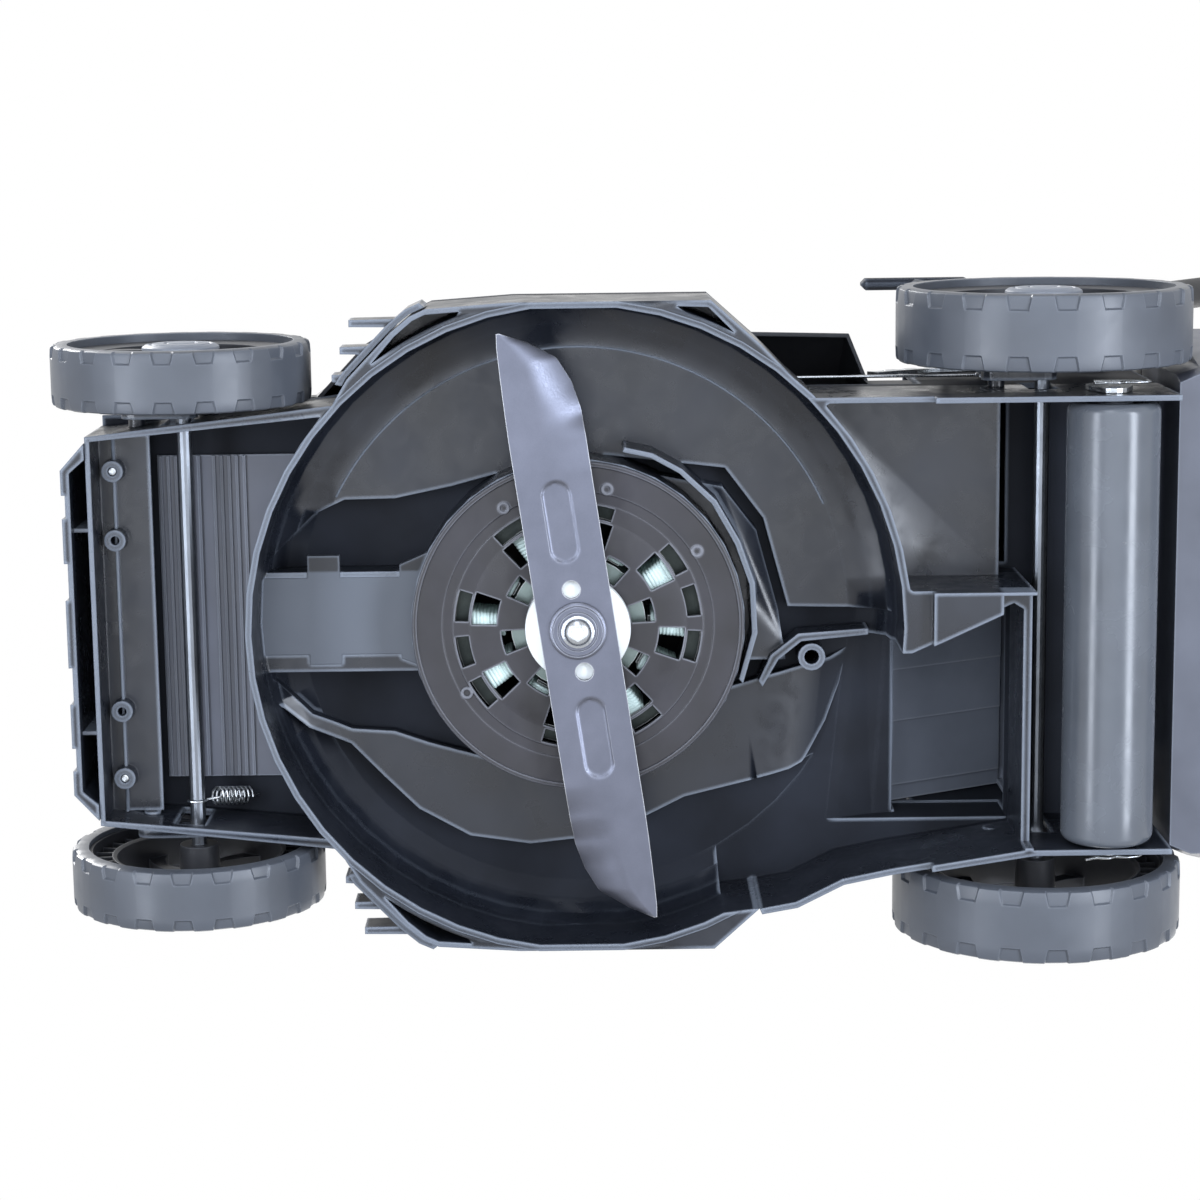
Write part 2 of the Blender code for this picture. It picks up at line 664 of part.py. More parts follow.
def make_blade():
    half = BLADE_WIDTH / 2
    stations = [
        # along the blade, leading edge, trailing edge, rise of the trailing edge
        (0, -half, half, 0),
        (40, -half, half, 0),
        (100, -half, half, 0),
        (122, -half, half, 3),
        (140, -half + 0.3, half - 0.5, 9),
        (158, -half + 0.8, half - 4, 12),
        (174, -half + 1.4, half - 11, 10),
        (187, -half + 2, -4, 5),
        (195, -21.4, -19.5, 0),
    ]
    bm = bmesh.new()
    rows = []
    for end in (-1, 1):
        for along, lead, trail, rise in stations if end == 1 else stations[:0:-1]:
            row = []
            for share in (0, 0.45, 0.75, 1):
                lift = rise * max(0, (share - 0.45) / 0.55) ** 1.5
                across = lead + (trail - lead) * share
                row.append((end * along, end * across, BLADE_Z + lift))
            rows.append(row if end == 1 else row[::-1])
    grid = [[bm.verts.new(point) for point in row] for row in rows]
    for row, after in zip(grid, grid[1:]):
        for i in range(3):
            bm.faces.new((row[i], after[i], after[i + 1], row[i + 1]))
    blade = add_object("blade", mesh_from("blade", bm), "blade_steel", blade_axis, turn=(0, 0, BLADE_TURN))
    if blade.data.polygons[0].normal.z < 0:
        blade.data.flip_normals()
    flat = blade.modifiers.new("flat faces", "TRIANGULATE")
    flat.quad_method = "SHORTEST_DIAGONAL"
    thick = blade.modifiers.new("thickness", "SOLIDIFY")
    thick.thickness = BLADE_THICKNESS * MM
    thick.offset = 1
    cut(blade, rod("blade_bore", 4.5, (0, 0, 30), (0, 0, 60), parent=blade_axis, sides=16))
    turn = radians(BLADE_TURN)
    for side in (1, -1):
        x, y = 29 * side * cos(turn), 29 * side * sin(turn)
        cut(blade, rod(f"blade_hole_{side}", 5.4, (x, y, 30), (x, y, 60), parent=blade_axis, sides=16))
    return blade


make_blade()
turned("blade_washer", [(4.5, 38.4), (17, 38.4), (17, 41), (4.5, 41)], 20, "bright_steel", blade_axis)
blade_bolt = rod("blade_bolt", 9, (0, 0, 31), (0, 0, 38), "bright_steel", blade_axis, sides=6)
fuse(blade_bolt, rod("bolt_stem", 4.1, (0, 0, 36), (0, 0, DISC_TOP), parent=blade_axis, sides=12))


# Axles: rods on swing arms, with the crank on the left arm that takes the height link

def make_carrier(name, side, pivot_empty, low_x, high_x, crank):
    """A swing arm; its frame's origin is the pivot that it turns on."""
    x0, x1 = sorted((side * low_x, side * high_x))
    eye, pin_hole, rod_hole = 10, 5.9, ROD_RADIUS + 0.4
    arm = side_plate(
        name, strap((0, 0), eye, (ARM_LENGTH, 0), 9.5), x0, x1, "black_plastic", pivot_empty,
        holes=[circle((0, 0), pin_hole, 16), circle((ARM_LENGTH, 0), rod_hole, 16)],
    )
    if crank:
        stem = strap((0, 12), 4.5, (0, CRANK_HEIGHT), 6, 5)
        pin_end = side * (low_x - 3.4)
        fuse(
            arm,
            side_plate(f"{name}_crank", stem, x0 + 0.2, x1 - 0.2, parent=pivot_empty),
            rod(
                f"{name}_crank_pin", 3, (pin_end, 0, CRANK_HEIGHT), (side * (low_x + 1), 0, CRANK_HEIGHT),
                parent=pivot_empty, sides=12,
            ),
        )
    return arm


make_carrier("front_carrier_left", 1, front_pivot, 135.6, 141.2, True)
make_carrier("front_carrier_right", -1, front_pivot, 135.6, 141.2, False)
make_carrier("rear_carrier_left", 1, rear_pivot, 152.5, 161, True)
make_carrier("rear_carrier_right", -1, rear_pivot, 152.5, 161, False)


def make_axle_rod(name, wheel, pivot_empty):
    reach = wheel["middle"] + wheel["width"] / 2 - 9
    start, end = (-reach, ARM_LENGTH, 0), (reach, ARM_LENGTH, 0)
    return rod(name, ROD_RADIUS, start, end, "bright_steel", pivot_empty, sides=16)


make_axle_rod("front_axle_rod", FRONT_WHEEL, front_pivot)
make_axle_rod("rear_axle_rod", REAR_WHEEL, rear_pivot)


# Height lever: up beside the body, out over the wheel's top, then a grip that points forward

def make_height_lever():
    lean = radians(LEVER_LEAN)

    def at_radius(radius, x):
        return (x, -radius * sin(lean), radius * cos(lean))

    stem_x, grip_x = 157.2, 204.5
    foot = (stem_x, 0, CRANK_HEIGHT + 8.5)
    path = [foot, at_radius(CRANK_HEIGHT + 20, stem_x), at_radius(LEVER_JOG, stem_x)]
    path += [at_radius(LEVER_JOG + 10, grip_x), at_radius(LEVER_REACH - 12, grip_x)]
    lever = tube("height_lever", rounded(path, 9, 4), 3.8, "black_plastic", rear_pivot, resolution=1)
    grip_z = LEVER_REACH * cos(lean)
    grip = box(
        "lever_grip", (grip_x - 4, -72, grip_z - 14), (grip_x + 4, 4, grip_z + 4), parent=rear_pivot, bevel=3
    )
    return fuse(lever, grip)


make_height_lever()


# Height link: a rod with an eye at each end, from crank pin to crank pin

def make_height_link():
    front_x, rear_x = 132.4, 150.7
    front_y, front_z = FRONT_WHEEL["y"] - ARM_LENGTH, FRONT_WHEEL["z"] + CRANK_HEIGHT
    rear_y, rear_z = REAR_WHEEL["y"] - ARM_LENGTH, REAR_WHEEL["z"] + CRANK_HEIGHT
    rise = (rear_z - front_z) / (rear_y - front_y)
    bend_y = 110
    bend = Vector((rear_x, bend_y, front_z + rise * (bend_y - front_y)))
    start = Vector((front_x, front_y, front_z))
    start += (bend - start).normalized() * 5.5
    end = Vector((rear_x, rear_y - 5.5, rear_z - 5.5 * rise))
    link = tube("height_link", [start, bend, end], 1.1, "bright_steel", resolution=2)
    for x, y, z in ((front_x, front_y, front_z), (rear_x, rear_y, rear_z)):
        eye = side_plate(f"link_eye_{x}", circle((y, z), 6.5, 16), x - 1.2, x + 1.2)
        fuse(link, eye)
        cut(link, rod(f"link_bore_{x}", 3.4, (x - 5, y, z), (x + 5, y, z), sides=12))
    return link


make_height_link()


# Notched plate that the lever locks in

def make_height_quadrant():
    notches, pitch, inner, outer = 7, 8.5, 103, 113
    start = 90 - 24
    points = arc((0, 0), inner, start + 66, start, 8)
    for number in range(notches):
        angle = start + pitch * number + 3
        points += arc((0, 0), outer, angle, angle + pitch * 0.55, 2)
        points += arc((0, 0), outer - 4, angle + pitch * 0.6, angle + pitch * 0.95, 2)
    points += arc((0, 0), outer, start + 66, start + 66, 1 + 1)[:1]
    return side_plate("height_quadrant", points, REAR_SIDE + GAP, REAR_SIDE + 3, "zinc", rear_pivot)


make_height_quadrant()


# Wheels: a spoked moulding, a treaded tyre and a cap

def make_wheel(name, wheel, side, pivot_empty):
    radius, half = wheel["radius"], wheel["width"] / 2
    place = (side * wheel["middle"], ARM_LENGTH, 0)
    turn = (0, 90 * side, 0)
    bore, hub = ROD_RADIUS + 0.3, 13
    barrel, seat = radius - 15, radius - 11.4
    face = half - 6
    rim = turned(
        f"{name}_wheel",
        [(bore, 2 - half), (hub, 2 - half), (hub, face - 4), (barrel, face - 4), (barrel, 3 - half),
         (seat, 3 - half), (seat, face), (bore, face)],
        20, "black_plastic", pivot_empty, place, turn,
    )
    for number in range(5):
        middle = 72 * number + (12 if side > 0 else 30)
        shape = arc((0, 0), barrel - 6, middle - 22, middle + 22, 4)
        shape += arc((0, 0), hub + 9, middle + 26, middle + 2, 2)
        window_name = f"{name}_window_{number}"
        cut(rim, plate(window_name, shape, face - 12, face + 8, None, pivot_empty, at=place, turn=turn))

    bm = bmesh.new()
    rows = []
    inner, stations = radius - 11, LUGS * 2
    crown = radius / cos(pi / stations)
    for step in range(stations):
        around = tau * (step + 0.5) / stations
        edge = crown - 1.6 if step // 2 % 2 else crown - 5
        tread = [(edge, -half), (crown, -half * 0.5), (crown, half * 0.5), (edge, half)]
        section = [(inner, -half), *tread, (inner, half)]
        rows.append([bm.verts.new((r * cos(around), r * sin(around), z)) for r, z in section])
    for row, after in zip(rows, rows[1:] + rows[:1]):
        for i in range(6):
            j = (i + 1) % 6
            bm.faces.new((row[i], row[j], after[j], after[i]))
    add_object(f"{name}_tyre", mesh_from(f"{name}_tyre", bm), "tyre_rubber", pivot_empty, place, turn)

    cap = [(0, face + GAP), (25, face + GAP), (25, face + 2.5), (20, half - 1), (0, half - 0.5)]
    turned(f"{name}_cap", cap, 16, "grey_plastic", pivot_empty, place, turn)


make_wheel("front_left", FRONT_WHEEL, 1, front_pivot)
make_wheel("front_right", FRONT_WHEEL, -1, front_pivot)
make_wheel("rear_left", REAR_WHEEL, 1, rear_pivot)
make_wheel("rear_right", REAR_WHEEL, -1, rear_pivot)


# Roller with its end pins, and the zinc brackets outside the side walls

def make_roller():
    radius, half = ROLLER["radius"], ROLLER["length"] / 2 - 5
    pin, pin_end = 4, 152
    profile = [(0, -pin_end), (pin, -pin_end), (pin, -half), (radius - 5, -half), (radius - 1.5, -half + 1.5)]
    profile += [(radius, -half + 5), (radius, half - 5), (radius - 1.5, half - 1.5), (radius - 5, half)]
    profile += [(pin, half), (pin, pin_end), (0, pin_end)]
    return turned("roller", profile, 24, "roller_grey", roller_axis, turn=(0, 90, 0))


def make_roller_bracket(name, side):
    x0, x1 = sorted((side * (REAR_SIDE + GAP), side * (REAR_SIDE + 3.4)))
    outline = strap((0, 0), 9, (0, 18), 15)
    bracket = side_plate(name, outline, x0, x1, "zinc", roller_axis, holes=[circle((0, 0), 4.5, 16)])
    return bracket


make_roller()
make_roller_bracket("roller_bracket_left", 1)
make_roller_bracket("roller_bracket_right", -1)


# Extension spring: eight close turns between the hook on the front rod and the hook in the deck

def make_height_spring():
    wire, coil, turns, per_turn = 0.8, 5.6, 8, 9
    rod_y, rod_z = FRONT_WHEEL["y"], FRONT_WHEEL["z"]
    start = Vector((-116, rod_y + 11, rod_z + 4))
    end = Vector((-120, rod_y + 31, rod_z + 21))
    along = (end - start).normalized()
    across = along.cross(Vector((1, 0, 0))).normalized()
    side = along.cross(across).normalized()
    points = []
    for step in range(turns * per_turn + 1):
        around = tau * step / per_turn
        middle = start.lerp(end, step / (turns * per_turn))
        points.append(middle + (across * cos(around) + side * sin(around)) * coil)
    hook_radius = ROD_RADIUS + wire + 0.5
    hook = [
        Vector((start.x - 2, rod_y + hook_radius * cos(a), rod_z + hook_radius * sin(a)))
        for a in (radians(200), radians(235), radians(270), radians(305), radians(340), radians(15))
    ]
    tail = [end + along * 3 + across * 3, end + along * 6, end + along * 9 - across * 1]
    least = min(
        (a - b).length
        for i, a in enumerate(points)
        for b in points[i + per_turn - 2 : i + per_turn + 3]
    )
    print(f"height spring: least gap between turns {least - 2 * wire:.2f} mm")
    return tube("height_spring", hook + points + tail, wire, "zinc", resolution=1)


make_height_spring()


# Chute insert: stepped plates under the hood and the tunnel to the grass box

def make_chute():
    outer = [(291.4, 128.5), (REAR_END - 1, 128.5), (REAR_END - 1, 215.5), (291.4, 201)]
    inner = [(280, 131.5), (REAR_END + 9, 131.5), (REAR_END + 9, 212.5), (280, 196)]
    chute = side_plate("discharge_chute", outer, -141, 15, "grey_plastic")
    cut(chute, side_plate("tunnel_bore", inner, -138, 12))

    # The ceiling climbs to the tunnel in four facets, each lower than the one on its left
    edges = [-141, -130, -85, -49, 12]
    for number, (low, high) in enumerate(zip(edges, edges[1:])):
        drop = 2.2 * number
        facet = [(210.8, 150 - drop), (292, 196 - drop), (292, 200), (210.8, 154)]
        fuse(chute, side_plate(f"chute_facet_{number}", facet, low, high + 0.2))
    side_wall = [(-17, 210.8), (-17, 213.5), (12, 279), (12, 292)]
    side_wall += [(9, 292), (9, 279.7), (-20, 214.2), (-20, 210.8)]
    outside = [(-17, 190), (-17, 213.5), (12.2, 279), (40, 279), (40, 190)]
    above = [(200, 148.2), (291, 199.2), (291, 260), (200, 260)]
    fuse(chute, plate("chute_side_wall", side_wall, 128.2, 199))
    return cut(
        chute,
        plate("chute_outside", outside, 90, 260),
        side_plate("chute_above", above, -150, 40),
    )


make_chute()


# Motor cover: a shell lofted over five outlines, open below

COVER_RINGS = (
    (DECK_TOP + GAP, [
        (70, -320), (118, -312), (136, -292), (142.5, -250), (144, -170), (178, -138),
        (203, -96), (203, 84), (182, 114), (180, 183), (146, 197), (146, 224.5),
    ]),
    (165, [
        (66, -314), (112, -306), (131, -288), (139, -250), (141, -175), (172, -134),
        (196, -92), (196, 82), (180, 112), (178, 183), (146, 196), (146, 224.5),
    ]),
    (195, [
        (58, -296), (98, -288), (116, -270), (124, -240), (130, -170), (152, -126),
        (170, -84), (170, 78), (158, 110), (150, 180), (140, 194), (140, 224.5),
    ]),
    (222, [
        (48, -262), (80, -254), (96, -238), (102, -215), (106, -160), (118, -112),
        (128, -72), (130, 70), (124, 104), (118, 178), (112, 192), (112, 224.5),
    ]),
    (236, [
        (30, -236), (56, -230), (72, -218), (80, -196), (84, -150), (92, -104),
        (98, -66), (100, 64), (96, 98), (90, 174), (86, 190), (86, 224.5),
    ]),
)
LID = {"half": 56, "front": -214, "hinge": -96, "z": 236}


def make_cover():
    rings = [[(x, y, z) for x, y in both_sides(half)] for z, half in COVER_RINGS]
    cover = loft("motor_cover", rings, "black_plastic", closed_ends=(False, True))
    flat = cover.modifiers.new("flat faces", "TRIANGULATE")
    flat.quad_method = "SHORTEST_DIAGONAL"
    shell = cover.modifiers.new("wall", "SOLIDIFY")
    shell.thickness = 2.6 * MM
    shell.offset = -1
    shell.use_even_offset = True
    half, z = LID["half"] - 6, LID["z"]
    cut(
        cover,
        box("lid_opening", (-half, LID["front"] + 6, z - 20), (half, LID["hinge"] - 8, z + 20)),
        box("key_slot", (54, 128, z - 20), (66, 134, z + 20)),
    )
    for side in (1, -1):
        x0, x1 = sorted((side * 147, side * 220))
        cut(cover, box(f"shoulder_gap_{side}", (x0, 116, 100), (x1, 230, 157)))
    return cut(
        cover,
        box("foot_trim", (-250, -350, 90), (250, 250, DECK_TOP + GAP)),
        box("hood_notch", (-160, 190, 90), (26, 240, 166)),
        box("crank_notch", (129, -318, 90), (150, -250, 146)),
    )


make_cover()


# Carry handle over the motor

def make_carry_handle():
    z = 236 + GAP
    path = [(-52, 30, z + 1), (-52, 30, z + 34), (52, 30, z + 34), (52, 30, z + 1)]
    handle = tube("carry_handle", rounded(path, 18, 4), 8, "black_plastic", resolution=2)
    for x in (-52, 52):
        fuse(handle, box(f"handle_foot_{x}", (x - 15, 12, z), (x + 15, 48, z + 5), bevel=1.5))
    return handle


make_carry_handle()


# Battery bay: tray with its contact block, pack with its latch, lid, safety key

PACK = {"x": 39, "front": -200, "rear": -116, "low": 128, "high": 214}


def make_battery_tray():
    low = (-PACK["x"] - 4, PACK["front"] - 4, DECK_TOP + 2)
    high = (PACK["x"] + 4, PACK["rear"] + 4, 188)
    tray = box("battery_tray", low, high, "black_plastic")
    room_low = (-PACK["x"] - 1, PACK["front"] - 1, PACK["low"] - 1)
    cut(tray, box("pack_room", room_low, (PACK["x"] + 1, PACK["rear"] + 1, 200)))
    for x in (-14, 0, 14):
        fuse(tray, box(f"contact_{x}", (x - 2, -160, PACK["low"] - 2), (x + 2, -146, PACK["low"] + 8)))
    return tray


def make_battery_pack():
    front, rear, low, high = PACK["front"], PACK["rear"], PACK["low"], PACK["high"]
    pack = box("battery_pack", (-PACK["x"], front, low), (PACK["x"], rear, high), "black_plastic", bevel=3)
    return cut(
        pack,
        box("pack_contacts_room", (-20, -164, low - 5), (20, -142, low + 24)),
        box("pack_grip_room", (-24, front + 20, high - 9), (24, front + 44, high + 5)),
        box("latch_room", (-14.5, rear - 24, high - 8), (14.5, rear - 10, high + 5)),
    )


def make_battery_latch():
    rear, high = PACK["rear"], PACK["high"]
    low_corner, high_corner = (-14, rear - 23.5, high - 3.6), (14, rear - 10.5, high + 3)
    return box("battery_latch", low_corner, high_corner, "red_plastic", bevel=1)


make_battery_tray()
make_battery_pack()
make_battery_latch()


def make_battery_lid():
    half, front, hinge, z = LID["half"], LID["front"], LID["hinge"], LID["z"] + GAP
    outline = both_sides([(half - 8, front), (half, front + 8), (half, hinge - 5)])
    lid = plate("battery_lid", outline, z, z + 4, "blue_plastic")
    barrel = rod("lid_barrel", 3.2, (-half + 6, hinge, z + 3.6), (half - 6, hinge, z + 3.6), sides=12)
    arm = box("lid_arm", (-half + 8, hinge - 7, z + 0.6), (half - 8, hinge, z + 4))
    tab = box("lid_tab", (-14, front - 6, z + 1), (14, front + 2, z + 3.6))
    return fuse(lid, barrel, arm, tab)


make_battery_lid()
key = box("safety_key", (55, 128.8, 205), (65, 133.2, 240), "red_plastic")
fuse(key, box("key_bow", (48, 127.5, 239), (72, 134.5, 256), bevel=2))
box("motor_controller", (34, 140, DECK_TOP + 3), (124, 196, 150), "circuit_board")


# Rear flap, lying on the grass box's shoulder

def make_rear_flap():
    y, z = FLAP_HINGE
    rise, reach = 28, 96
    outline = [(y - 2, z + 4), (y - 2, z - 1), (y + reach, z - 1 + rise), (y + reach, z + 3 + rise)]
    flap = side_plate("rear_flap", outline, -126, 126, "black_plastic")
    fuse(flap, rod("flap_barrel", 5, (-126.5, y, z), (126.5, y, z), sides=12))
    for x in (-84, -42, 0, 42, 84):
        rib = [(y + 12, z + 5), (y + 88, z + rise - 1), (y + 84, z + 8 + rise), (y + 16, z + 11)]
        fuse(flap, side_plate(f"flap_rib_{x}", rib, x - 2, x + 2))
    return flap


make_rear_flap()


# Grass box: rigid lower bin with the mouth, and an upper shell with a grip

def box_ring(z, front, rear, half, corner):
    """A level of the grass box, its front corners drawn in behind the wheels."""
    neck = min(half, 162)
    outline = [(neck - 6, front), (neck, front + 14), (half, front + 22)]
    outline += [(half, rear - corner), (half - corner, rear)]
    return [(x, y, z) for x, y in both_sides(outline)]


def make_grass_box():
    bin_rings = [
        box_ring(64, BOX_FRONT, BOX_END - 60, 158, 8),
        box_ring(76, BOX_FRONT, BOX_END - 40, 164, 10),
        box_ring(190, BOX_FRONT, BOX_END - 8, 176, 14),
    ]
    lower = loft("grass_box", bin_rings, "grey_plastic", closed_ends=(True, False))
    lid_rings = [
        box_ring(192, BOX_FRONT, BOX_END - 8, 176, 14),
        box_ring(228, BOX_FRONT, BOX_END - 10, 173, 14),
        box_ring(262, BOX_FRONT + 106, BOX_END - 34, 160, 20),
        box_ring(276, BOX_FRONT + 136, BOX_END - 70, 130, 24),
    ]
    upper = loft("grass_box_lid", lid_rings, "black_plastic", closed_ends=(False, True))
    for shell in (lower, upper):
        wall = shell.modifiers.new("wall", "SOLIDIFY")
        wall.thickness = 3 * MM
        wall.offset = -1
        wall.use_even_offset = True
    cut(lower, box("mouth_low", (-138, BOX_FRONT - 10, 131), (12, BOX_FRONT + 10, 200)))
    cut(upper, box("mouth_high", (-138, BOX_FRONT - 10, 180), (12, BOX_FRONT + 10, 213)))
    path = [(-50, 640, 272), (-50, 640, 304), (50, 640, 304), (50, 640, 272)]
    fuse(upper, tube("box_grip", rounded(path, 16, 4), 7, resolution=2))
    return lower, upper


make_grass_box()


# Handle: two lower tubes, the U-shaped upper tube inside them, clamps, switch box and bail

slope = radians(HANDLE_SLOPE)
joint_y, joint_z = LOWER_LENGTH * cos(slope), LOWER_LENGTH * sin(slope)
upper_pivot = make_empty("upper_pivot", (0, joint_y, joint_z), handle_pivot)


def on_slope(distance, x):
    return (x, distance * cos(slope), distance * sin(slope))


def make_lower_tube(name, side):
    x = side * LOWER_X
    ends = [on_slope(-4, x), on_slope(LOWER_LENGTH + 14, x)]
    bar = tube(name, ends, TUBE_RADIUS, "powder_coat", handle_pivot, resolution=3)
    for number, distance in enumerate((0, LOWER_LENGTH)):
        inner, outer = on_slope(distance, x - 20), on_slope(distance, x + 20)
        cut(bar, rod(f"{name}_bolt_hole_{number}", 4.4, inner, outer, parent=handle_pivot, sides=12))
    return bar


def make_upper_handle():
    width, bend = UPPER_X, 70
    path = [on_slope(-14, width), on_slope(UPPER_LENGTH, width)]
    path += [on_slope(UPPER_LENGTH, -width), on_slope(-14, -width)]
    path = rounded(path, bend, 7)
    handle = tube("upper_handle", path, TUBE_RADIUS, "powder_coat", upper_pivot, resolution=3)
    for side in (1, -1):
        inner, outer = on_slope(0, side * width - 20), on_slope(0, side * width + 20)
        cut(handle, rod(f"upper_bolt_hole_{side}", 4.4, inner, outer, parent=upper_pivot, sides=12))
    return handle


def make_clamp_lever(name, side):
    """The bolt through both tubes with the quick-release lever on its outer end."""
    inner, outer = sorted((side * (UPPER_X - TUBE_RADIUS - 6), side * (LOWER_X + TUBE_RADIUS + 4)))
    lever = rod(name, 4, (inner, 0, 0), (outer, 0, 0), "black_plastic", upper_pivot, sides=12)
    hub = LOWER_X + TUBE_RADIUS
    hub_low, hub_high = sorted((side * (hub + GAP), side * (hub + 13.5)))
    start, end = on_slope(-6, 0), on_slope(-64, 0)
    outline = strap(start[1:], 9, end[1:], 7)
    nut_low, nut_high = sorted((side * (UPPER_X - TUBE_RADIUS - 7), side * (UPPER_X - TUBE_RADIUS - GAP)))
    return fuse(
        lever,
        side_plate(f"{name}_grip", outline, hub_low, hub_high, parent=upper_pivot),
        rod(f"{name}_nut", 8, (nut_low, 0, 0), (nut_high, 0, 0), parent=upper_pivot, sides=6),
    )


make_lower_tube("lower_handle_left", 1)
make_lower_tube("lower_handle_right", -1)
make_upper_handle()
make_clamp_lever("clamp_lever_left", 1)
make_clamp_lever("clamp_lever_right", -1)


# Switch box on the upper handle's left tube, with the bail that is pulled to the crossbar

SWITCH_AT = 395
BAIL_LEAN = 25
switch_frame = make_empty("switch_frame", on_slope(SWITCH_AT, 0), upper_pivot)
switch_frame.rotation_euler = (radians(HANDLE_SLOPE - 90), 0, 0)


def make_switch_box():
    inner, outer = 118, UPPER_X - TUBE_RADIUS - GAP
    body = box("switch_box", (inner, -24, -44), (outer, 24, 44), "black_plastic", switch_frame, bevel=5)
    return cut(
        body,
        rod("button_bore", 9.5, (136, 12, 16), (136, 30, 16), parent=switch_frame),
        rod("bail_bore", 4.6, (110, 0, 0), (126, 0, 0), parent=switch_frame, sides=12),
    )


def make_bail():
    """A bar with outward ends, standing off the handle's plane until it is pulled."""
    reach = UPPER_LENGTH - SWITCH_AT - 23
    lean = radians(BAIL_LEAN)
    top_y, top_z = -reach * sin(lean), reach * cos(lean)
    path = [(124, 0, 0), (103, 0, 0), (98, top_y, top_z), (-98, top_y, top_z), (-103, 0, 0), (-153.8, 0, 0)]
    return tube("bail_lever", rounded(path, 12, 4), 4, "black_plastic", switch_frame, resolution=1)


make_switch_box()
make_bail()
rod("safety_button", 9, (136, 18, 16), (136, 30, 16), "red_plastic", switch_frame, sides=16)
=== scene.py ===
import bpy, bmesh, json
from math import cos, hypot, radians, sin, tau
from mathutils import Matrix, Vector


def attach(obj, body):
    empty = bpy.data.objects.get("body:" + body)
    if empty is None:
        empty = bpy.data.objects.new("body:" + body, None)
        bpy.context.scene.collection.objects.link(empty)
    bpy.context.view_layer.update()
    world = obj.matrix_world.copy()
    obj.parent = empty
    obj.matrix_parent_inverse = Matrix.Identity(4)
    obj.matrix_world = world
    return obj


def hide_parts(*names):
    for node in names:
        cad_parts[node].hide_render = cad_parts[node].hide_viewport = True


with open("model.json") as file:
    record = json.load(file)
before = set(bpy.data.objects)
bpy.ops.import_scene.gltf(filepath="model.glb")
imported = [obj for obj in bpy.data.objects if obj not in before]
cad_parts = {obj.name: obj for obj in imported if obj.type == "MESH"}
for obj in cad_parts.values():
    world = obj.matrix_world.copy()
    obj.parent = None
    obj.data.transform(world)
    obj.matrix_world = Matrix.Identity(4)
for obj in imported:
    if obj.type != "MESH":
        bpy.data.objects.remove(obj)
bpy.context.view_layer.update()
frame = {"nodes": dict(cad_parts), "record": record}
nodes = frame["nodes"]
print("frame loaded:", len(nodes), "pieces")

mm = 0.001
bladeAxis = Vector((0, -0.3142, 0))  # the ground under the blade's axis; all lengths below are metres
onAxis = Matrix.Translation(bladeAxis)
alongX = Matrix.Rotation(radians(90), 4, "Y")  # lays what was turned about Z along X
sides = ((1, "left"), (-1, "right"))


# colours, nodes and materials

def linearColour(hexColour):
    parts = [int(hexColour[i:i + 2], 16) / 255 for i in (1, 3, 5)]
    return [p / 12.92 if p <= 0.04045 else ((p + 0.055) / 1.055) ** 2.4 for p in parts] + [1]


def addNode(tree, kind, links=None, **settings):
    node = tree.nodes.new(kind)
    for key, value in settings.items():
        setattr(node, key, value)
    for key, value in (links or {}).items():
        if isinstance(value, bpy.types.NodeSocket):
            tree.links.new(value, node.inputs[key])
        else:
            node.inputs[key].default_value = value
    return node


def emptyTree(holder):
    holder.use_nodes = True
    holder.node_tree.nodes.clear()
    return holder.node_tree


def startMaterial(name, roughness, metallic=0.0):
    material = bpy.data.materials.new(name)
    material.use_nodes = True
    tree = material.node_tree
    shader = tree.nodes["Principled BSDF"]
    shader.inputs["Roughness"].default_value = roughness
    shader.inputs["Metallic"].default_value = metallic
    if not metallic:
        shader.inputs["IOR"].default_value = 1.49
    place = addNode(tree, "ShaderNodeTexCoord").outputs["Object"]
    return material, tree, shader, place


def paintedEdgeHighlight(tree, radius, strength):
    # painted highlight on thin lips and corners: 0 on a broad face, up to strength where little lies behind
    rounded = addNode(tree, "ShaderNodeBevel", {"Radius": radius}, samples=4)
    behind = addNode(tree, "ShaderNodeAmbientOcclusion", {"Distance": radius * 1.5}, samples=6, inside=True)
    edgeHighlight = addNode(tree, "ShaderNodeMapRange", {"Value": behind.outputs["AO"], 1: 0.94, 2: 0.7, 3: 0.0,
                                                  4: strength})
    return rounded.outputs[0], edgeHighlight.outputs[0]


def finishShader(tree, shader, colour, gloss, relief, strength, depth, normal):
    bump = addNode(tree, "ShaderNodeBump", {"Height": relief, "Strength": strength, "Distance": depth * mm,
                                            "Normal": normal})
    for label, value in (("Base Color", colour), ("Roughness", gloss), ("Normal", bump.outputs[0])):
        tree.links.new(value, shader.inputs[label])


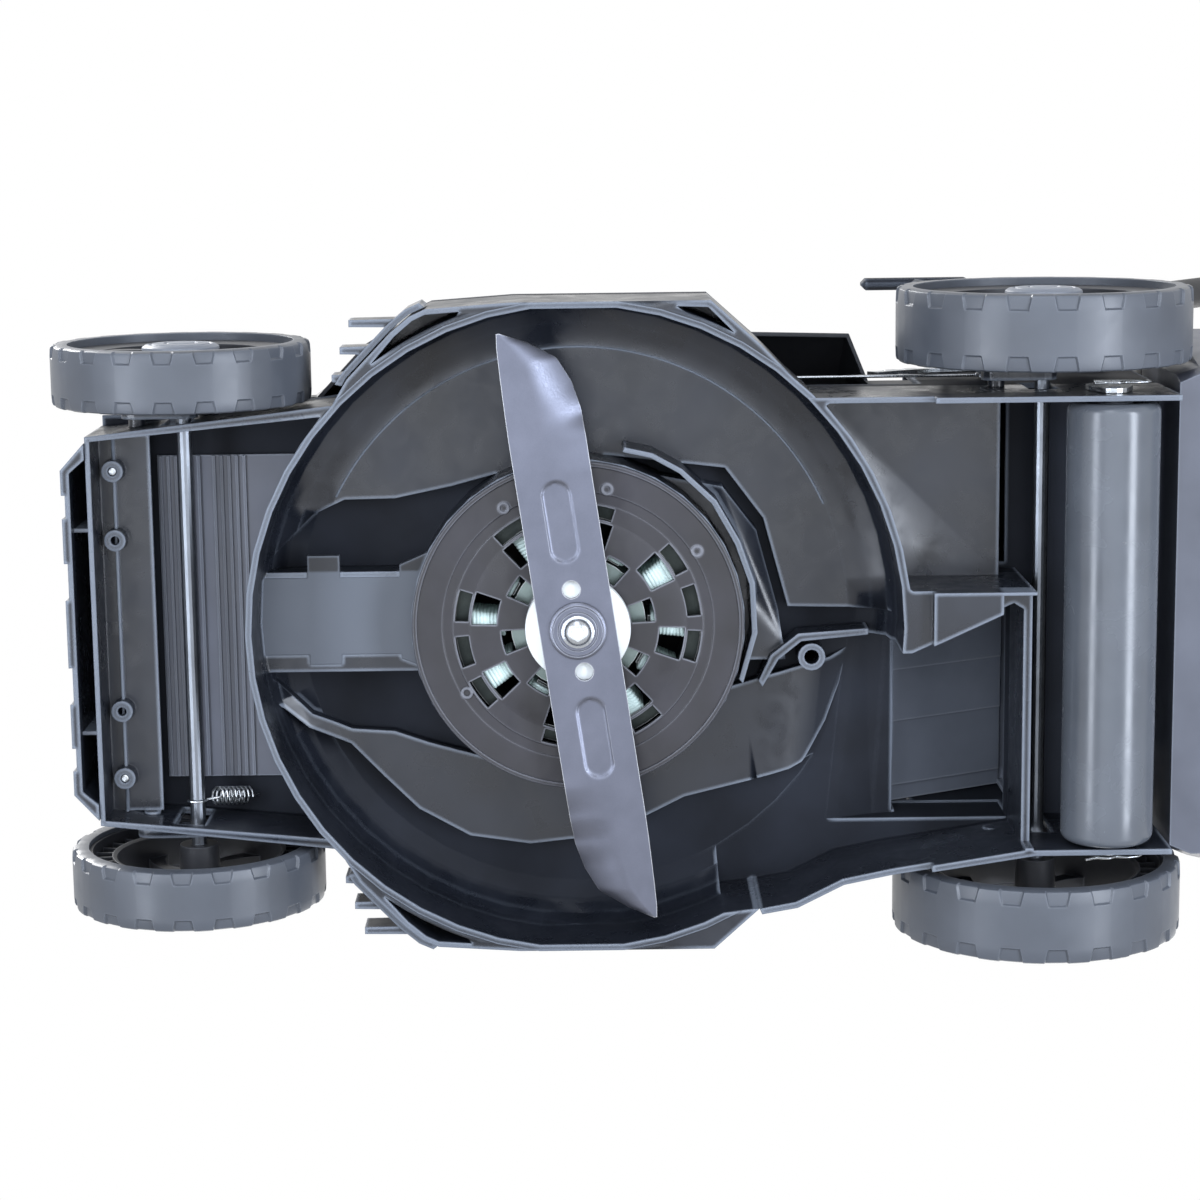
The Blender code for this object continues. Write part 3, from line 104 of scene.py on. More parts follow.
def mouldedPlastic(name, colour, highlightColour, roughness, grain, depth, edge, shine=0.4, deep=0, cloud=0.05):
    # polypropylene or ABS: spark-eroded grain (0.3 mm really, drawn at about 1 mm), slow changes of gloss,
    # and a painted highlight on thin lips and corners
    material, tree, shader, place = startMaterial(name, roughness)
    slow = addNode(tree, "ShaderNodeTexNoise", {"Vector": place, "Scale": 1 / 0.05, "Detail": 3.0}).outputs[0]
    fine = addNode(tree, "ShaderNodeTexNoise", {"Vector": place, "Scale": 1 / (grain * mm), "Detail": 1.0})
    normal, edgeHighlight = paintedEdgeHighlight(tree, edge * mm, shine)
    swing = addNode(tree, "ShaderNodeMapRange", {"Value": slow, 1: 0.3, 2: 0.7, 3: 1 - 2.5 * cloud,
                                                 4: 1 + 2.5 * cloud})
    tone = addNode(tree, "ShaderNodeHueSaturation", {"Color": linearColour(colour),
                                                     "Value": swing.outputs[0]})
    # painted highlight: thin lips and corners are mixed toward the lighter highlight colour
    highlighted = addNode(tree, "ShaderNodeMix", {0: edgeHighlight, 6: tone.outputs[0], 7: linearColour(highlightColour)},
                   data_type="RGBA")
    flow = addNode(tree, "ShaderNodeTexNoise", {"Vector": place, "Scale": 1 / 0.016, "Detail": 4.0,
                                                "Distortion": 0.6})
    mottle = addNode(tree, "ShaderNodeMath", {0: slow, 1: flow.outputs[0]}, operation="ADD")
    gloss = addNode(tree, "ShaderNodeMapRange", {"Value": mottle.outputs[0], 1: 0.7, 2: 1.3,
                                                 3: roughness - cloud, 4: roughness + 1.3 * cloud})
    if deep:
        # painted shade: above this height the specular level is turned down and the surface made rougher, so
        # the deep channels read darker and duller
        height = addNode(tree, "ShaderNodeSeparateXYZ", {0: place}).outputs["Z"]
        paintedShadeShare = addNode(tree, "ShaderNodeMapRange", {"Value": height, 1: deep, 2: deep + 0.003}).outputs[0]
        gloss = addNode(tree, "ShaderNodeMix", {0: paintedShadeShare, 2: gloss.outputs[0], 3: 0.62}, data_type="FLOAT")
        # painted shade: the specular level falls from 0.5 to 0.16 above that height
        level = addNode(tree, "ShaderNodeMapRange", {"Value": paintedShadeShare, 3: 0.5, 4: 0.16})
        tree.links.new(level.outputs[0], shader.inputs["Specular IOR Level"])
    finishShader(tree, shader, highlighted.outputs[2], gloss.outputs[0], fine.outputs[0], 0.35, depth, normal)
    return material


def workedMetal(name, colour, darkColour, roughness, stretch, pitch):
    # bare or plated steel: the working marks run along one axis, stretch is how long they are each way
    material, tree, shader, place = startMaterial(name, roughness, 1.0)
    squeeze = addNode(tree, "ShaderNodeMapping", {"Vector": place, "Scale": stretch}).outputs[0]
    marks = addNode(tree, "ShaderNodeTexNoise", {"Vector": squeeze, "Scale": 1 / (pitch * mm), "Detail": 4.0})
    blotch = addNode(tree, "ShaderNodeTexNoise", {"Vector": place, "Scale": 1 / 0.018, "Detail": 4.0})
    normal, edgeHighlight = paintedEdgeHighlight(tree, 0.4 * mm, 0.5)
    tone = addNode(tree, "ShaderNodeMix", {0: blotch.outputs[0], 6: linearColour(darkColour),
                                           7: linearColour(colour)}, data_type="RGBA")
    # painted highlight: thin edges and corners are mixed toward near white
    bright = addNode(tree, "ShaderNodeMix", {0: edgeHighlight, 6: tone.outputs[2], 7: linearColour("#E4E6E8")},
                     data_type="RGBA")
    gloss = addNode(tree, "ShaderNodeMapRange", {"Value": marks.outputs[0], 1: 0.3, 2: 0.7,
                                                 3: roughness - 0.08, 4: roughness + 0.12})
    finishShader(tree, shader, bright.outputs[2], gloss.outputs[0], marks.outputs[0], 0.25, 0.05, normal)
    return material


plastics = {  # name, colour, painted edge highlight colour, roughness, grain, its depth, edge radius, shine of the painted highlight, height above which shade is painted, cloud
    "deckPolypropylene": ("black deck polypropylene", "#1A1D24", "#8F97A3", 0.3, 1.2, 0.04, 1.85, 0.6, 0.104,
                          0.11),
    "coverAbs": ("grained black cover ABS", "#1E1F23", "#44474E", 0.5, 0.9, 0.08, 1.2),
    "greyPolypropylene": ("slate grey polypropylene", "#565963", "#9AA0AA", 0.36, 1.2, 0.05, 0.8),
    # painted light: the chute's colour is made lighter, standing in for light that reaches into the deep
    # chute
    "lightenedChutePolypropylene": ("chute polypropylene painted lighter", "#767B85", "#B4BAC4", 0.36, 1.2, 0.05, 1.0),
    "wheelPolypropylene": ("black wheel polypropylene", "#2A2B2F", "#5C5F66", 0.45, 1.0, 0.05, 0.6),
    "capPolypropylene": ("grey hub cap polypropylene", "#7D828B", "#A9AEB6", 0.42, 1.0, 0.05, 0.6),
    "paleAcetal": ("white acetal", "#E4E7E4", "#F2F3F2", 0.35, 1.0, 0.02, 0.5),
    "blueAbs": ("blue gloss ABS", "#1B4796", "#3E6CC0", 0.28, 1.4, 0.02, 0.9),
    "redAbs": ("red ABS", "#B4262B", "#D8565A", 0.34, 1.2, 0.02, 0.5),
    "gripFoam": ("grip foam rubber", "#232427", "#3A3B3F", 0.82, 0.8, 0.25, 0.5),
    "tyreRubber": ("hard tyre rubber", "#4C5057", "#868C95", 0.38, 1.0, 0.08, 0.7, 0.3),
    "coilNylon": ("pale green glass filled nylon", "#C3D6D1", "#E2ECE8", 0.4, 0.9, 0.06, 0.5),
    "plateNylon": ("mottled mauve grey nylon", "#222126", "#9A9CA4", 0.44, 1.6, 0.06, 0.9, 0.45, 0, 0.17),
    "rollerGrey": ("satin grey roller sleeve", "#565A60", "#9CA0A8", 0.24, 0.9, 0.02, 1.0),
    "powderCoat": ("black powder coat", "#1D1E21", "#3A3C41", 0.5, 0.7, 0.12, 0.6),
    "ductPolypropylene": ("satin duct polypropylene", "#16181D", "#7A818C", 0.46, 1.2, 0.05, 1.2),
    "circuitResin": ("green potted board", "#234A33", "#4C7A5C", 0.35, 1.5, 0.05, 0.6),
}
metals = {  # name, colour, dark colour, roughness, stretch and pitch of the working marks
    "bladeSteel": ("oiled spring steel", "#6C6F7C", "#5B5E69", 0.4, (1, 1, 1), 0.8),
    "turnedSteel": ("bright turned steel", "#BFC3C8", "#9EA3AA", 0.26, (0.05, 1, 1), 0.5),
    "zincPlate": ("zinc plated steel", "#C6CACD", "#A2A7AC", 0.3, (1, 1, 1), 0.9),
    "laminations": ("stacked core laminations", "#8D9A97", "#5F6B69", 0.4, (1, 1, 8), 0.7),
    "axleSteel": ("dull zinc axle steel", "#858A91", "#62666D", 0.34, (1, 1, 1), 0.9),
    "darkLaminations": ("varnished core laminations", "#454A47", "#24282A", 0.45, (1, 1, 8), 0.7),
}
finishes = {key: mouldedPlastic(*values) for key, values in plastics.items()}
finishes.update({key: workedMetal(*values) for key, values in metals.items()})
slotFinish = {
    "black_plastic": "deckPolypropylene", "grey_plastic": "greyPolypropylene", "pale_plastic": "paleAcetal",
    "blue_plastic": "blueAbs", "red_plastic": "redAbs", "tyre_rubber": "tyreRubber", "zinc": "zincPlate",
    "blade_steel": "bladeSteel", "bright_steel": "turnedSteel", "core_steel": "laminations",
    "roller_grey": "rollerGrey", "circuit_board": "circuitResin", "powder_coat": "powderCoat",
}
finishSlot = {finish: slot for slot, finish in slotFinish.items()}
finishSlot.update(dict.fromkeys(
    ("coverAbs", "wheelPolypropylene", "plateNylon", "ductPolypropylene", "gripFoam"), "black_plastic"))
finishSlot.update(capPolypropylene="grey_plastic", coilNylon="core_steel", darkLaminations="core_steel")
# nodes whose finish differs from the rest of their slot
nodeFinish = {"discharge_chute": "lightenedChutePolypropylene", "front_axle_rod": "axleSteel",
              "rear_axle_rod": "axleSteel"}
for part in frame["record"]["subparts"]:
    node = nodes[part["node"]]
    finish = nodeFinish.get(part["node"], slotFinish[part["material_slot"]])
    node.data.materials.clear()
    node.data.materials.append(finishes[finish])
print("finishes made:", len(finishes))


# mesh helpers: pieces are made in metres, where they stand

def joined(bm):
    bmesh.ops.remove_doubles(bm, verts=bm.verts, dist=1e-6)
    bmesh.ops.recalc_face_normals(bm, faces=bm.faces)


def placed(name, data):
    holder = bpy.data.objects.new(name, data)
    bpy.context.scene.collection.objects.link(holder)
    return holder


def meshObject(name, bm):
    mesh = bpy.data.meshes.new(name)
    bm.to_mesh(mesh)
    bm.free()
    return placed(name, mesh)


def shadeSmooth(piece, angle):
    piece.data.shade_smooth()
    piece.data.set_sharp_from_angle(angle=radians(angle))


def shape(build, *values):
    bm = bmesh.new()
    build(bm, *values)
    return bm


def newPiece(name, bm, finish, body, standsFor=None, smooth=35):
    joined(bm)
    piece = meshObject(name, bm)
    shadeSmooth(piece, smooth)
    piece.data.materials.append(finishes[finish])
    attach(piece, body)
    if standsFor:
        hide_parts(standsFor)
    return piece


def shownMesh(piece):
    # the mesh that the piece's modifiers make of it
    bpy.context.view_layer.update()
    return bpy.data.meshes.new_from_object(piece.evaluated_get(bpy.context.evaluated_depsgraph_get()))


def applyModifiers(piece):
    shown = shownMesh(piece)
    piece.modifiers.clear()
    piece.data = shown


def skin(bm, rings, wrap=False, ends=True):
    # quads between closed rings of points; wrap joins the last ring to the first
    for ring, after in zip(rings, rings[1:] + rings[:1] * wrap):
        for i in range(len(ring)):
            j = (i + 1) % len(ring)
            bm.faces.new((ring[i], ring[j], after[j], after[i]))
    if ends and not wrap:
        bm.faces.new(rings[0][::-1])
        bm.faces.new(rings[-1])


def lathe(bm, profile, steps, matrix=Matrix()):
    # a closed outline of (radius, height) points turned about Z
    rings = []
    for step in range(steps):
        turn = tau * step / steps
        rings.append([bm.verts.new(matrix @ Vector((r * cos(turn), r * sin(turn), h))) for r, h in profile])
    for ring, after in zip(rings, rings[1:] + rings[:1]):
        for i, (a, b) in enumerate(zip(profile, profile[1:] + profile[:1])):
            j = (i + 1) % len(profile)
            if a[0] > 1e-7 or b[0] > 1e-7:
                bm.faces.new((ring[i], ring[j], after[j], after[i]))


def block(bm, low, high):
    middle = (Vector(low) + Vector(high)) / 2
    size = Vector(high) - Vector(low)
    bmesh.ops.create_cube(bm, size=1, matrix=Matrix.Translation(middle) @ Matrix.Diagonal((*size, 1)))


def prism(bm, outline, low, high, matrix=Matrix()):
    skin(bm, [[bm.verts.new(matrix @ Vector((x, y, z))) for x, y in outline] for z in (low, high)])


def arcPoints(radius, start, end, count, middle=(0, 0)):
    turns = [radians(start + (end - start) * i / (count - 1)) for i in range(count)]
    return [(middle[0] + radius * cos(t), middle[1] + radius * sin(t)) for t in turns]


def roundedBox(middle, reachX, reachY, corner):
    # a rectangle with round corners: the reaches are half its sides
    outline = []
    for number, (x, y) in enumerate(((1, 1), (-1, 1), (-1, -1), (1, -1))):
        place = (middle[0] + x * (reachX - corner), middle[1] + y * (reachY - corner))
        outline += arcPoints(corner, 90 * number, 90 * number + 90, 5, place)
    return outline


def repeatTree(name, spacing, kind):
    # repeats a unit, drawn where its first copy stands: turned about Z by a pitch, or moved on by a step
    tree = bpy.data.node_groups.new(name, "GeometryNodeTree")
    tree.interface.new_socket("Geometry", in_out="OUTPUT", socket_type="NodeSocketGeometry")
    sockets = {}
    for label, form in (("Unit", "Geometry"), ("Count", "Int"), (spacing, kind), ("Finish", "Material")):
        socket = tree.interface.new_socket(label, in_out="INPUT", socket_type="NodeSocket" + form)
        sockets[label] = socket.identifier
    given = addNode(tree, "NodeGroupInput").outputs
    step = turn = (0, 0, 0)
    if spacing == "Pitch":
        index = addNode(tree, "GeometryNodeInputIndex").outputs[0]
        angle = addNode(tree, "ShaderNodeMath", {0: index, 1: given["Pitch"]}, operation="MULTIPLY")
        turn = addNode(tree, "ShaderNodeCombineXYZ", {"Z": angle.outputs[0]}).outputs[0]
    else:
        step = given[spacing]
    line = addNode(tree, "GeometryNodeMeshLine", {"Count": given["Count"], "Offset": step})
    copies = addNode(tree, "GeometryNodeInstanceOnPoints",
                     {"Points": line.outputs[0], "Instance": given["Unit"], "Rotation": turn})
    real = addNode(tree, "GeometryNodeRealizeInstances", {0: copies.outputs[0]})
    painted = addNode(tree, "GeometryNodeSetMaterial",
                      {"Geometry": real.outputs[0], "Material": given["Finish"]})
    addNode(tree, "NodeGroupOutput", {0: painted.outputs[0]})
    return tree, sockets


ringMaker = repeatTree("repeat about the axle", "Pitch", "Float")
rowMaker = repeatTree("repeat in a row", "Step", "Vector")


def addRepeated(bm, maker, unit, finish, **values):
    # runs a tree on a unit and adds the repeated shape to bm
    holder = meshObject("unit", unit)
    modifier = holder.modifiers.new("repeat", "NODES")
    modifier.node_group, sockets = maker
    modifier[sockets["Finish"]] = finishes[finish]
    for label, value in values.items():
        modifier[sockets[label]] = value
    made = [holder.data, shownMesh(holder)]
    bpy.data.objects.remove(holder)
    bm.from_mesh(made[1])
    for mesh in made:
        bpy.data.meshes.remove(mesh)


# the deck keeps its shape and gets soft curves and small fittings

def smoothCopy(node, finish, body, smooth, rounding=0, name=None):
    # a CAD piece with its points joined, so that its curved walls shade as one surface, and its edges rounded
    bm = bmesh.new()
    bm.from_mesh(nodes[node].data)
    bmesh.ops.remove_doubles(bm, verts=bm.verts, dist=1e-5)
    bmesh.ops.dissolve_limit(bm, angle_limit=radians(1), verts=bm.verts, edges=bm.edges)
    bmesh.ops.recalc_face_normals(bm, faces=bm.faces)
    if rounding:
        edges = [e for e in bm.edges if len(e.link_faces) == 2 and e.calc_face_angle() > radians(25)]
        bmesh.ops.bevel(bm, geom=edges, offset=rounding, segments=2, profile=0.5, affect="EDGES",
                        clamp_overlap=True)
    piece = newPiece(name or "moulded_" + node, bm, finish, body, node, smooth)
    even = piece.modifiers.new("even shading", "WEIGHTED_NORMAL")
    even.keep_sharp, even.weight = True, 80
    applyModifiers(piece)


ductValues = {"low": 0.083, "top": 0.0895, "x": (-0.0215, 0.0295), "y": (-0.209, -0.116),
              "tab": (-0.176, -0.155), "tabReach": 0.0145, "flare": 0.0118, "mouth": -0.0935}
bossValues = {"x": (0.102, -0.101), "y": -0.299, "face": 0.0745, "head": 0.0029}
clipValues = {"wire": 0.0009, "x": 0.1545, "low": 0.038}
beadValues = {"radius": 0.1768, "height": 0.0996, "wire": 0.0007, "first": -63, "last": 66, "steps": 64}


def wireThrough(bm, points, radius, sides=10):
    # a round wire through points: the ring of each point is turned as little as possible from the one before
    ways = [(on - back).normalized() for back, on in zip(points[:1] + points, points[1:] + points[-1:])]
    side = ways[0].orthogonal().normalized()
    rings = []
    for i, (point, way) in enumerate(zip(points, ways)):
        if i:
            side = (ways[i - 1].rotation_difference(way) @ side).normalized()
        up = way.cross(side)
        rings.append([bm.verts.new(point + (side * cos(tau * k / sides) + up * sin(tau * k / sides)) * radius)
                      for k in range(sides)])
    skin(bm, rings)


def bentPath(points, bend, steps=8):
    # corners of a path rounded to the bend's radius
    path = [points[0]]
    for before, corner, after in zip(points, points[1:], points[2:]):
        back, on = (before - corner).normalized(), (after - corner).normalized()
        angle = back.angle(on) / 2
        most = min((before - corner).length, (after - corner).length) * 0.49
        reach = min(bend / max(0.05, sin(angle) / cos(angle)), most)
        start, end = corner + back * reach, corner + on * reach
        for step in range(steps + 1):
            share = step / steps
            path.append(start.lerp(corner, share).lerp(corner.lerp(end, share), share))
    return path + [points[-1]]


def ductCover(bm, values):
    # the cover over the motor's cables, with its clip tabs and the flare at the well
    low, high = values["x"]
    front, rear = values["y"]
    tabFront, tabRear = values["tab"]
    reach, flare, mouth = values["tabReach"], values["flare"], values["mouth"]
    short = low - reach * 0.45
    outline = [(low, front), (low, tabFront), (short, tabFront), (short, tabRear), (low, tabRear),
               (low, rear), (low - 0.003, rear), (low - flare, mouth), (high + flare + 0.006, mouth),
               (high + 0.008, rear), (high, rear), (high, tabRear), (high + reach, tabRear),
               (high + reach, tabFront), (high, tabFront), (high, front)]
    prism(bm, outline, values["low"], values["top"], onAxis)


def bossScrews(bm, values):
    # pan head screws in the two outer bosses
    head = values["head"]
    profile = [(0, 0.006), (0.0017, 0.006), (0.0017, 0.0022), (head, 0.0022), (head, 0.0012),
               (head * 0.86, 0.0004), (head * 0.58, 0.0001), (head * 0.5, 0.0012), (0, 0.0012)]
    for x in values["x"]:
        lathe(bm, profile, 24, onAxis @ Matrix.Translation((x, values["y"], values["face"])))


def pinClips(bm, values):
    # sprung wire clips through the ends of the roller's pins
    turns = [(-0.004, 0.002), (0.004, 0.0065), (0.012, 0.0042), (0.017, 0.0085), (0.024, 0.006),
             (0.031, 0.0085), (0.034, 0.012), (0.031, 0.0155), (0.02, 0.0155), (0.004, 0.0155),
             (-0.002, 0.0155)]
    for x in (values["x"], -values["x"]):
        points = [Vector((x, 0.0168 + y, values["low"] + z)) for y, z in turns]
        wireThrough(bm, bentPath(points, 0.003, 4), values["wire"])


def ceilingBead(bm, values):
    # parting bead where the chamber's rolled shoulder meets the flat ceiling, on the left side only
    points = [Vector((x, y, values["height"])) + bladeAxis
              for x, y in arcPoints(values["radius"], values["first"], values["last"], values["steps"])]
    wireThrough(bm, points, values["wire"], 8)


smoothCopy("deck", "deckPolypropylene", "deck", 22)
newPiece("cable_duct_cover", shape(ductCover, ductValues), "ductPolypropylene", "deck")
newPiece("ceiling_bead", shape(ceilingBead, beadValues), "deckPolypropylene", "deck")
newPiece("boss_screws", shape(bossScrews, bossValues), "zincPlate", "deck")
newPiece("roller_pin_clips", shape(pinClips, clipValues), "zincPlate", "deck", None, 60)
print("deck dressed")


# wheels and tyres

axleSizes = {
    "front": {"x": 0.1651, "y": -0.5672, "radius": 0.083, "width": 0.039, "cap": 0.019},
    "rear": {"x": 0.189, "y": -0.0112, "radius": 0.095, "width": 0.048, "cap": 0.0235},
}
treadValues = {"lugs": 20, "pocketDepth": 0.0016, "pocketReach": 0.21, "shoulder": 0.0028, "wall": 0.011,
               "pocketShare": 0.42, "slant": 0.07, "lip": 0.0011}
wheelValues = {"ribs": 34, "ribThickness": 0.0018, "ribBand": 0.0125, "spokes": 5, "bore": 0.0053,
               "hub": 0.0125, "sink": 0.006, "seat": 0.0114, "barrel": 0.0135, "sweep": 34}
capProfile = [(0, -5.1), (24.2, -5.1), (25, -4.2), (24.6, -2.6), (22.5, -1.2), (20.5, -0.8), (19.8, -1.6),
              (18.8, -1.6), (18, -0.6), (11, -0.2), (10.2, -1.1), (9.2, -1.1), (8.4, -0.1), (4, 0), (0, 0)]


def treadRing(bm, size, values):
    # one band of rows per lug: the trapezoid pockets are sunk into both shoulders
    radius, half, pitch = size["radius"], size["width"] / 2, tau / values["lugs"]
    soft, reach, lip = values["shoulder"], size["width"] * values["pocketReach"], values["lip"]
    rows = [(0, soft, 1, 0), (soft * 0.35, soft * 0.35, 1, 0.05), (soft, 0.0003, 1, 0.25),
            (reach - lip, 0, 1, 0.9), (reach, 0, 0, 1.0), (reach + 0.004, 0, 0, 1.0)]
    across = [(-half + place, drop, sunk, lean) for place, drop, sunk, lean in rows]
    across += [(half - place, drop, sunk, lean) for place, drop, sunk, lean in rows[::-1]]
    edge = lip / (radius * pitch)
    stations = []
    for lug in range(values["lugs"]):
        for offset, depth in ((-1, 0), (-1, 1), (-0.4, 1), (0.4, 1), (1, 1), (1, 0), (1.7, 0)):
            ring = []
            for z, drop, sunk, lean in across:
                share = values["pocketShare"] / 2 + values["slant"] * (1 - lean)
                turn = lug + (offset * share if abs(offset) < 1.5 else 0.5)
                if abs(offset) == 1 and depth:
                    turn -= offset * edge
                r = radius - drop - values["pocketDepth"] * depth * sunk
                ring.append(bm.verts.new((r * cos(turn * pitch), r * sin(turn * pitch), z)))
            for z in (half, -half):
                inner = radius - values["wall"]
                turn = lug + (0.5 if offset > 1.5 else offset * 0.2)
                if abs(offset) == 1 and depth:
                    turn -= offset * edge
                ring.append(bm.verts.new((inner * cos(turn * pitch), inner * sin(turn * pitch), z)))
            stations.append(ring)
    skin(bm, stations, True)


def wheelDisc(bm, size, values):
    # rim, ring of ribs seen from the inside, windowed disc with curved spokes, hub
    radius, half = size["radius"], size["width"] / 2
    seat, barrel, face = radius - values["seat"], radius - values["barrel"], half - values["sink"]
    inner = barrel - values["ribBand"]
    bore, hub = values["bore"], values["hub"]
    lathe(bm, [(barrel, -half + 0.003), (seat, -half + 0.003), (seat, face), (seat - 0.0015, face + 0.0012),
               (inner - 0.003, face), (inner - 0.003, face - 0.003), (barrel, face - 0.003)], 72)
    lathe(bm, [(inner - 0.003, -half + 0.008), (inner, -half + 0.007), (inner, face - 0.0032),
               (inner - 0.003, face - 0.0032)], 72)
    lathe(bm, [(bore, -half + 0.002), (hub, -half + 0.002), (hub + 0.002, face), (bore, face)], 36)
    unit = bmesh.new()
    thick = values["ribThickness"] / 2
    block(unit, (inner - 0.0003, -thick, -half + 0.009), (barrel + 0.0003, thick, face - 0.0031))
    addRepeated(bm, ringMaker, unit, "wheelPolypropylene", Count=values["ribs"], Pitch=tau / values["ribs"])
    unit = bmesh.new()
    spoke = []
    for share in (0, 0.25, 0.5, 0.75, 1):
        r = hub - 0.001 + (inner - hub) * share
        wide = 0.0075 + 0.008 * abs(share - 0.45) ** 1.2 * 2
        spoke.append((r, radians(values["sweep"]) * share, wide / 2))
    outline = [(r * cos(b) + w * sin(b), r * sin(b) - w * cos(b)) for r, b, w in spoke]
    outline += [(r * cos(b) - w * sin(b), r * sin(b) + w * cos(b)) for r, b, w in spoke[::-1]]
    prism(unit, outline, face - 0.011, face - 0.0005)
    addRepeated(bm, ringMaker, unit, "wheelPolypropylene", Count=values["spokes"],
                Pitch=tau / values["spokes"])


def hubCap(bm, size):
    # dished cap with a raised ring and a groove, its profile in millimetres
    lathe(bm, [(r * mm, size["cap"] + h * mm) for r, h in capProfile], 60)


for axleName, size in axleSizes.items():
    for side, sideName in sides:
        onWheel = Matrix.Translation((side * size["x"], size["y"], size["radius"]))
        onWheel = onWheel @ Matrix.Rotation(radians(90 * side), 4, "Y")
        wheel = f"{axleName}_{sideName}_"
        for name, bm, finish, node, smooth in (
                ("dished_cap", shape(hubCap, size), "capPolypropylene", "cap", 40),
                ("treaded_tyre", shape(treadRing, size, treadValues), "tyreRubber", "tyre", 30),
                ("spoked_wheel", shape(wheelDisc, size, wheelValues), "wheelPolypropylene", "wheel", 35)):
            bm.transform(onWheel)
            newPiece(wheel + name, bm, finish, wheel + "wheel", wheel + node, smooth)
print("wheels made")


# blade: a pressed bar with stiffening beads, sails on its trailing edges and ground cutting edges

bladeValues = {"low": 0.0414, "thickness": 0.0036, "beadAt": 0.071, "beadLength": 0.054, "beadWidth": 0.02,
               "beadRise": 0.0014, "beadSlope": 0.0022, "hole": 0.0058, "holeAt": 0.027, "grind": 0.007,
               "turn": radians(-8.2)}
bladeStations = [  # along, leading edge, trailing edge, rise of the trailing edge, in millimetres
    (0, -24.5, 24.5, 0), (40, -24.5, 24.5, 0), (100, -24.5, 24.5, 0), (122, -24.5, 24.5, 3),
    (140, -24.2, 24, 9), (158, -23.7, 20.5, 12), (174, -23.1, 13.5, 10), (187, -22.5, -4, 5),
    (195, -21.4, -19.5, 0),
]


def bladeAt(along):
    for first, second in zip(bladeStations, bladeStations[1:]):
        if along <= second[0]:
            share = (along - first[0]) / (second[0] - first[0])
            soft = share * share * (3 - 2 * share) if first[0] >= 100 and second[0] <= 158 else share
            return [a + (b - a) * s for a, b, s in zip(first[1:], second[1:], (share, share, soft))]
    return bladeStations[-1][1:]


def pressedBlade(bm, values):
    alongs = [2 * i for i in range(20)] + [39 + i for i in range(65)] + [105 + 2 * i for i in range(46)]
    shares = [0, 0.05, 0.1, 0.15] + [0.15 + 0.85 * i / 44 for i in range(1, 45)]
    rings = []
    for along in [-a for a in alongs[:0:-1]] + alongs:
        end = -1 if along < 0 else 1
        lead, trail, rise = bladeAt(abs(along))
        under, over = [], []
        for share in shares:
            across = lead + (trail - lead) * share
            lift = rise * max(0, (share - 0.42) / 0.58) ** 1.5 * mm
            straight = (values["beadLength"] - values["beadWidth"]) / 2
            near = hypot(max(0, abs(abs(along) * mm - values["beadAt"]) - straight), across * mm)
            inside = min(1, max(0, (values["beadWidth"] / 2 - near) / values["beadSlope"]))
            z = values["low"] + lift + values["beadRise"] * inside * inside * (3 - 2 * inside)
            ground = max(0, 1 - share * (trail - lead) * mm / values["grind"]) if abs(along) > 118 else 0
            x, y = along * mm, end * across * mm
            under.append(bm.verts.new((x, y, z)))
            over.append(bm.verts.new((x, y, z + values["thickness"] * (1 - 0.8 * ground))))
        rings.append(under[::end] + over[::-end])
    skin(bm, rings, ends=False)
    for ring in (rings[0], rings[-1]):
        for j in range(len(shares) - 1):
            bm.faces.new((ring[j], ring[j + 1], ring[-2 - j], ring[-1 - j]))
    bm.transform(onAxis @ Matrix.Rotation(values["turn"], 4, "Z"))


def boredThrough(piece, places, radius, low, high):
    # round holes cut straight down through a finished piece
    profile = [(0, low), (radius, low), (radius, high), (0, high)]
    for x, y in places:
        drill = shape(lathe, profile, 32, Matrix.Translation((x, y, 0)))
        joined(drill)
        tool = meshObject("drill", drill)
        cutter = piece.modifiers.new("drill", "BOOLEAN")
        cutter.operation, cutter.solver, cutter.object = "DIFFERENCE", "EXACT", tool
        applyModifiers(piece)
        bpy.data.objects.remove(tool)
    shadeSmooth(piece, 30)


blade = newPiece("pressed_blade", shape(pressedBlade, bladeValues), "bladeSteel", "blade_unit", "blade", 24)
turn, out = bladeValues["turn"], bladeValues["holeAt"]
holes = [(at * cos(turn), bladeAxis.y + at * sin(turn)) for at in (out, -out, 0)]
boredThrough(blade, holes, bladeValues["hole"], 0.03, 0.06)


# the disc that drives the blade, the ringed washer and the domed flange bolt

boltValues = {"washer": 0.0185, "flange": 0.0105, "dome": 0.0088, "rise": 0.006, "hex": 0.0052}


def ringedWasher(bm, values):
    # a dished washer: fine turned rings on its lower face
    reach = values["washer"]
    profile = [(0.0046, 0.0411), (reach - 0.001, 0.0411), (reach, 0.0402), (reach, 0.0396),
               (reach - 0.0009, 0.0388)]
    for share, deep in ((0.9, 0), (0.87, 0.0004), (0.84, 0), (0.7, 0), (0.68, 0.0004), (0.66, 0)):
        profile.append((reach * share, 0.0386 + deep))
    lathe(bm, profile + [(0.0046, 0.0384)], 72, onAxis)


def domedBolt(bm, values):
    # flange, six-sided collar and polished dome, with the stem up through the disc
    flange, dome, rise = values["flange"], values["dome"], values["rise"]
    profile = [(0, 0.0546), (0.0041, 0.0546), (0.0041, 0.038), (flange, 0.038), (flange, 0.0368),
               (dome, 0.0362)]
    for number in range(1, 11):
        angle = radians(9 * number)
        profile.append((dome * cos(angle), 0.0362 - rise * 0.86 * sin(angle)))
    lathe(bm, profile, 60, onAxis)
    prism(bm, arcPoints(values["hex"], 0, 300, 6), 0.031, 0.0316, onAxis)


def driveDisc(bm):
    # white acetal: a flat face with a rolled rim
    lathe(bm, [(0.0047, 0.0454), (0.0215, 0.0454), (0.022, 0.0457), (0.0325, 0.0457), (0.0336, 0.0462),
               (0.034, 0.0473), (0.034, 0.0538), (0.0333, 0.0545), (0.0047, 0.0545)], 72, onAxis)


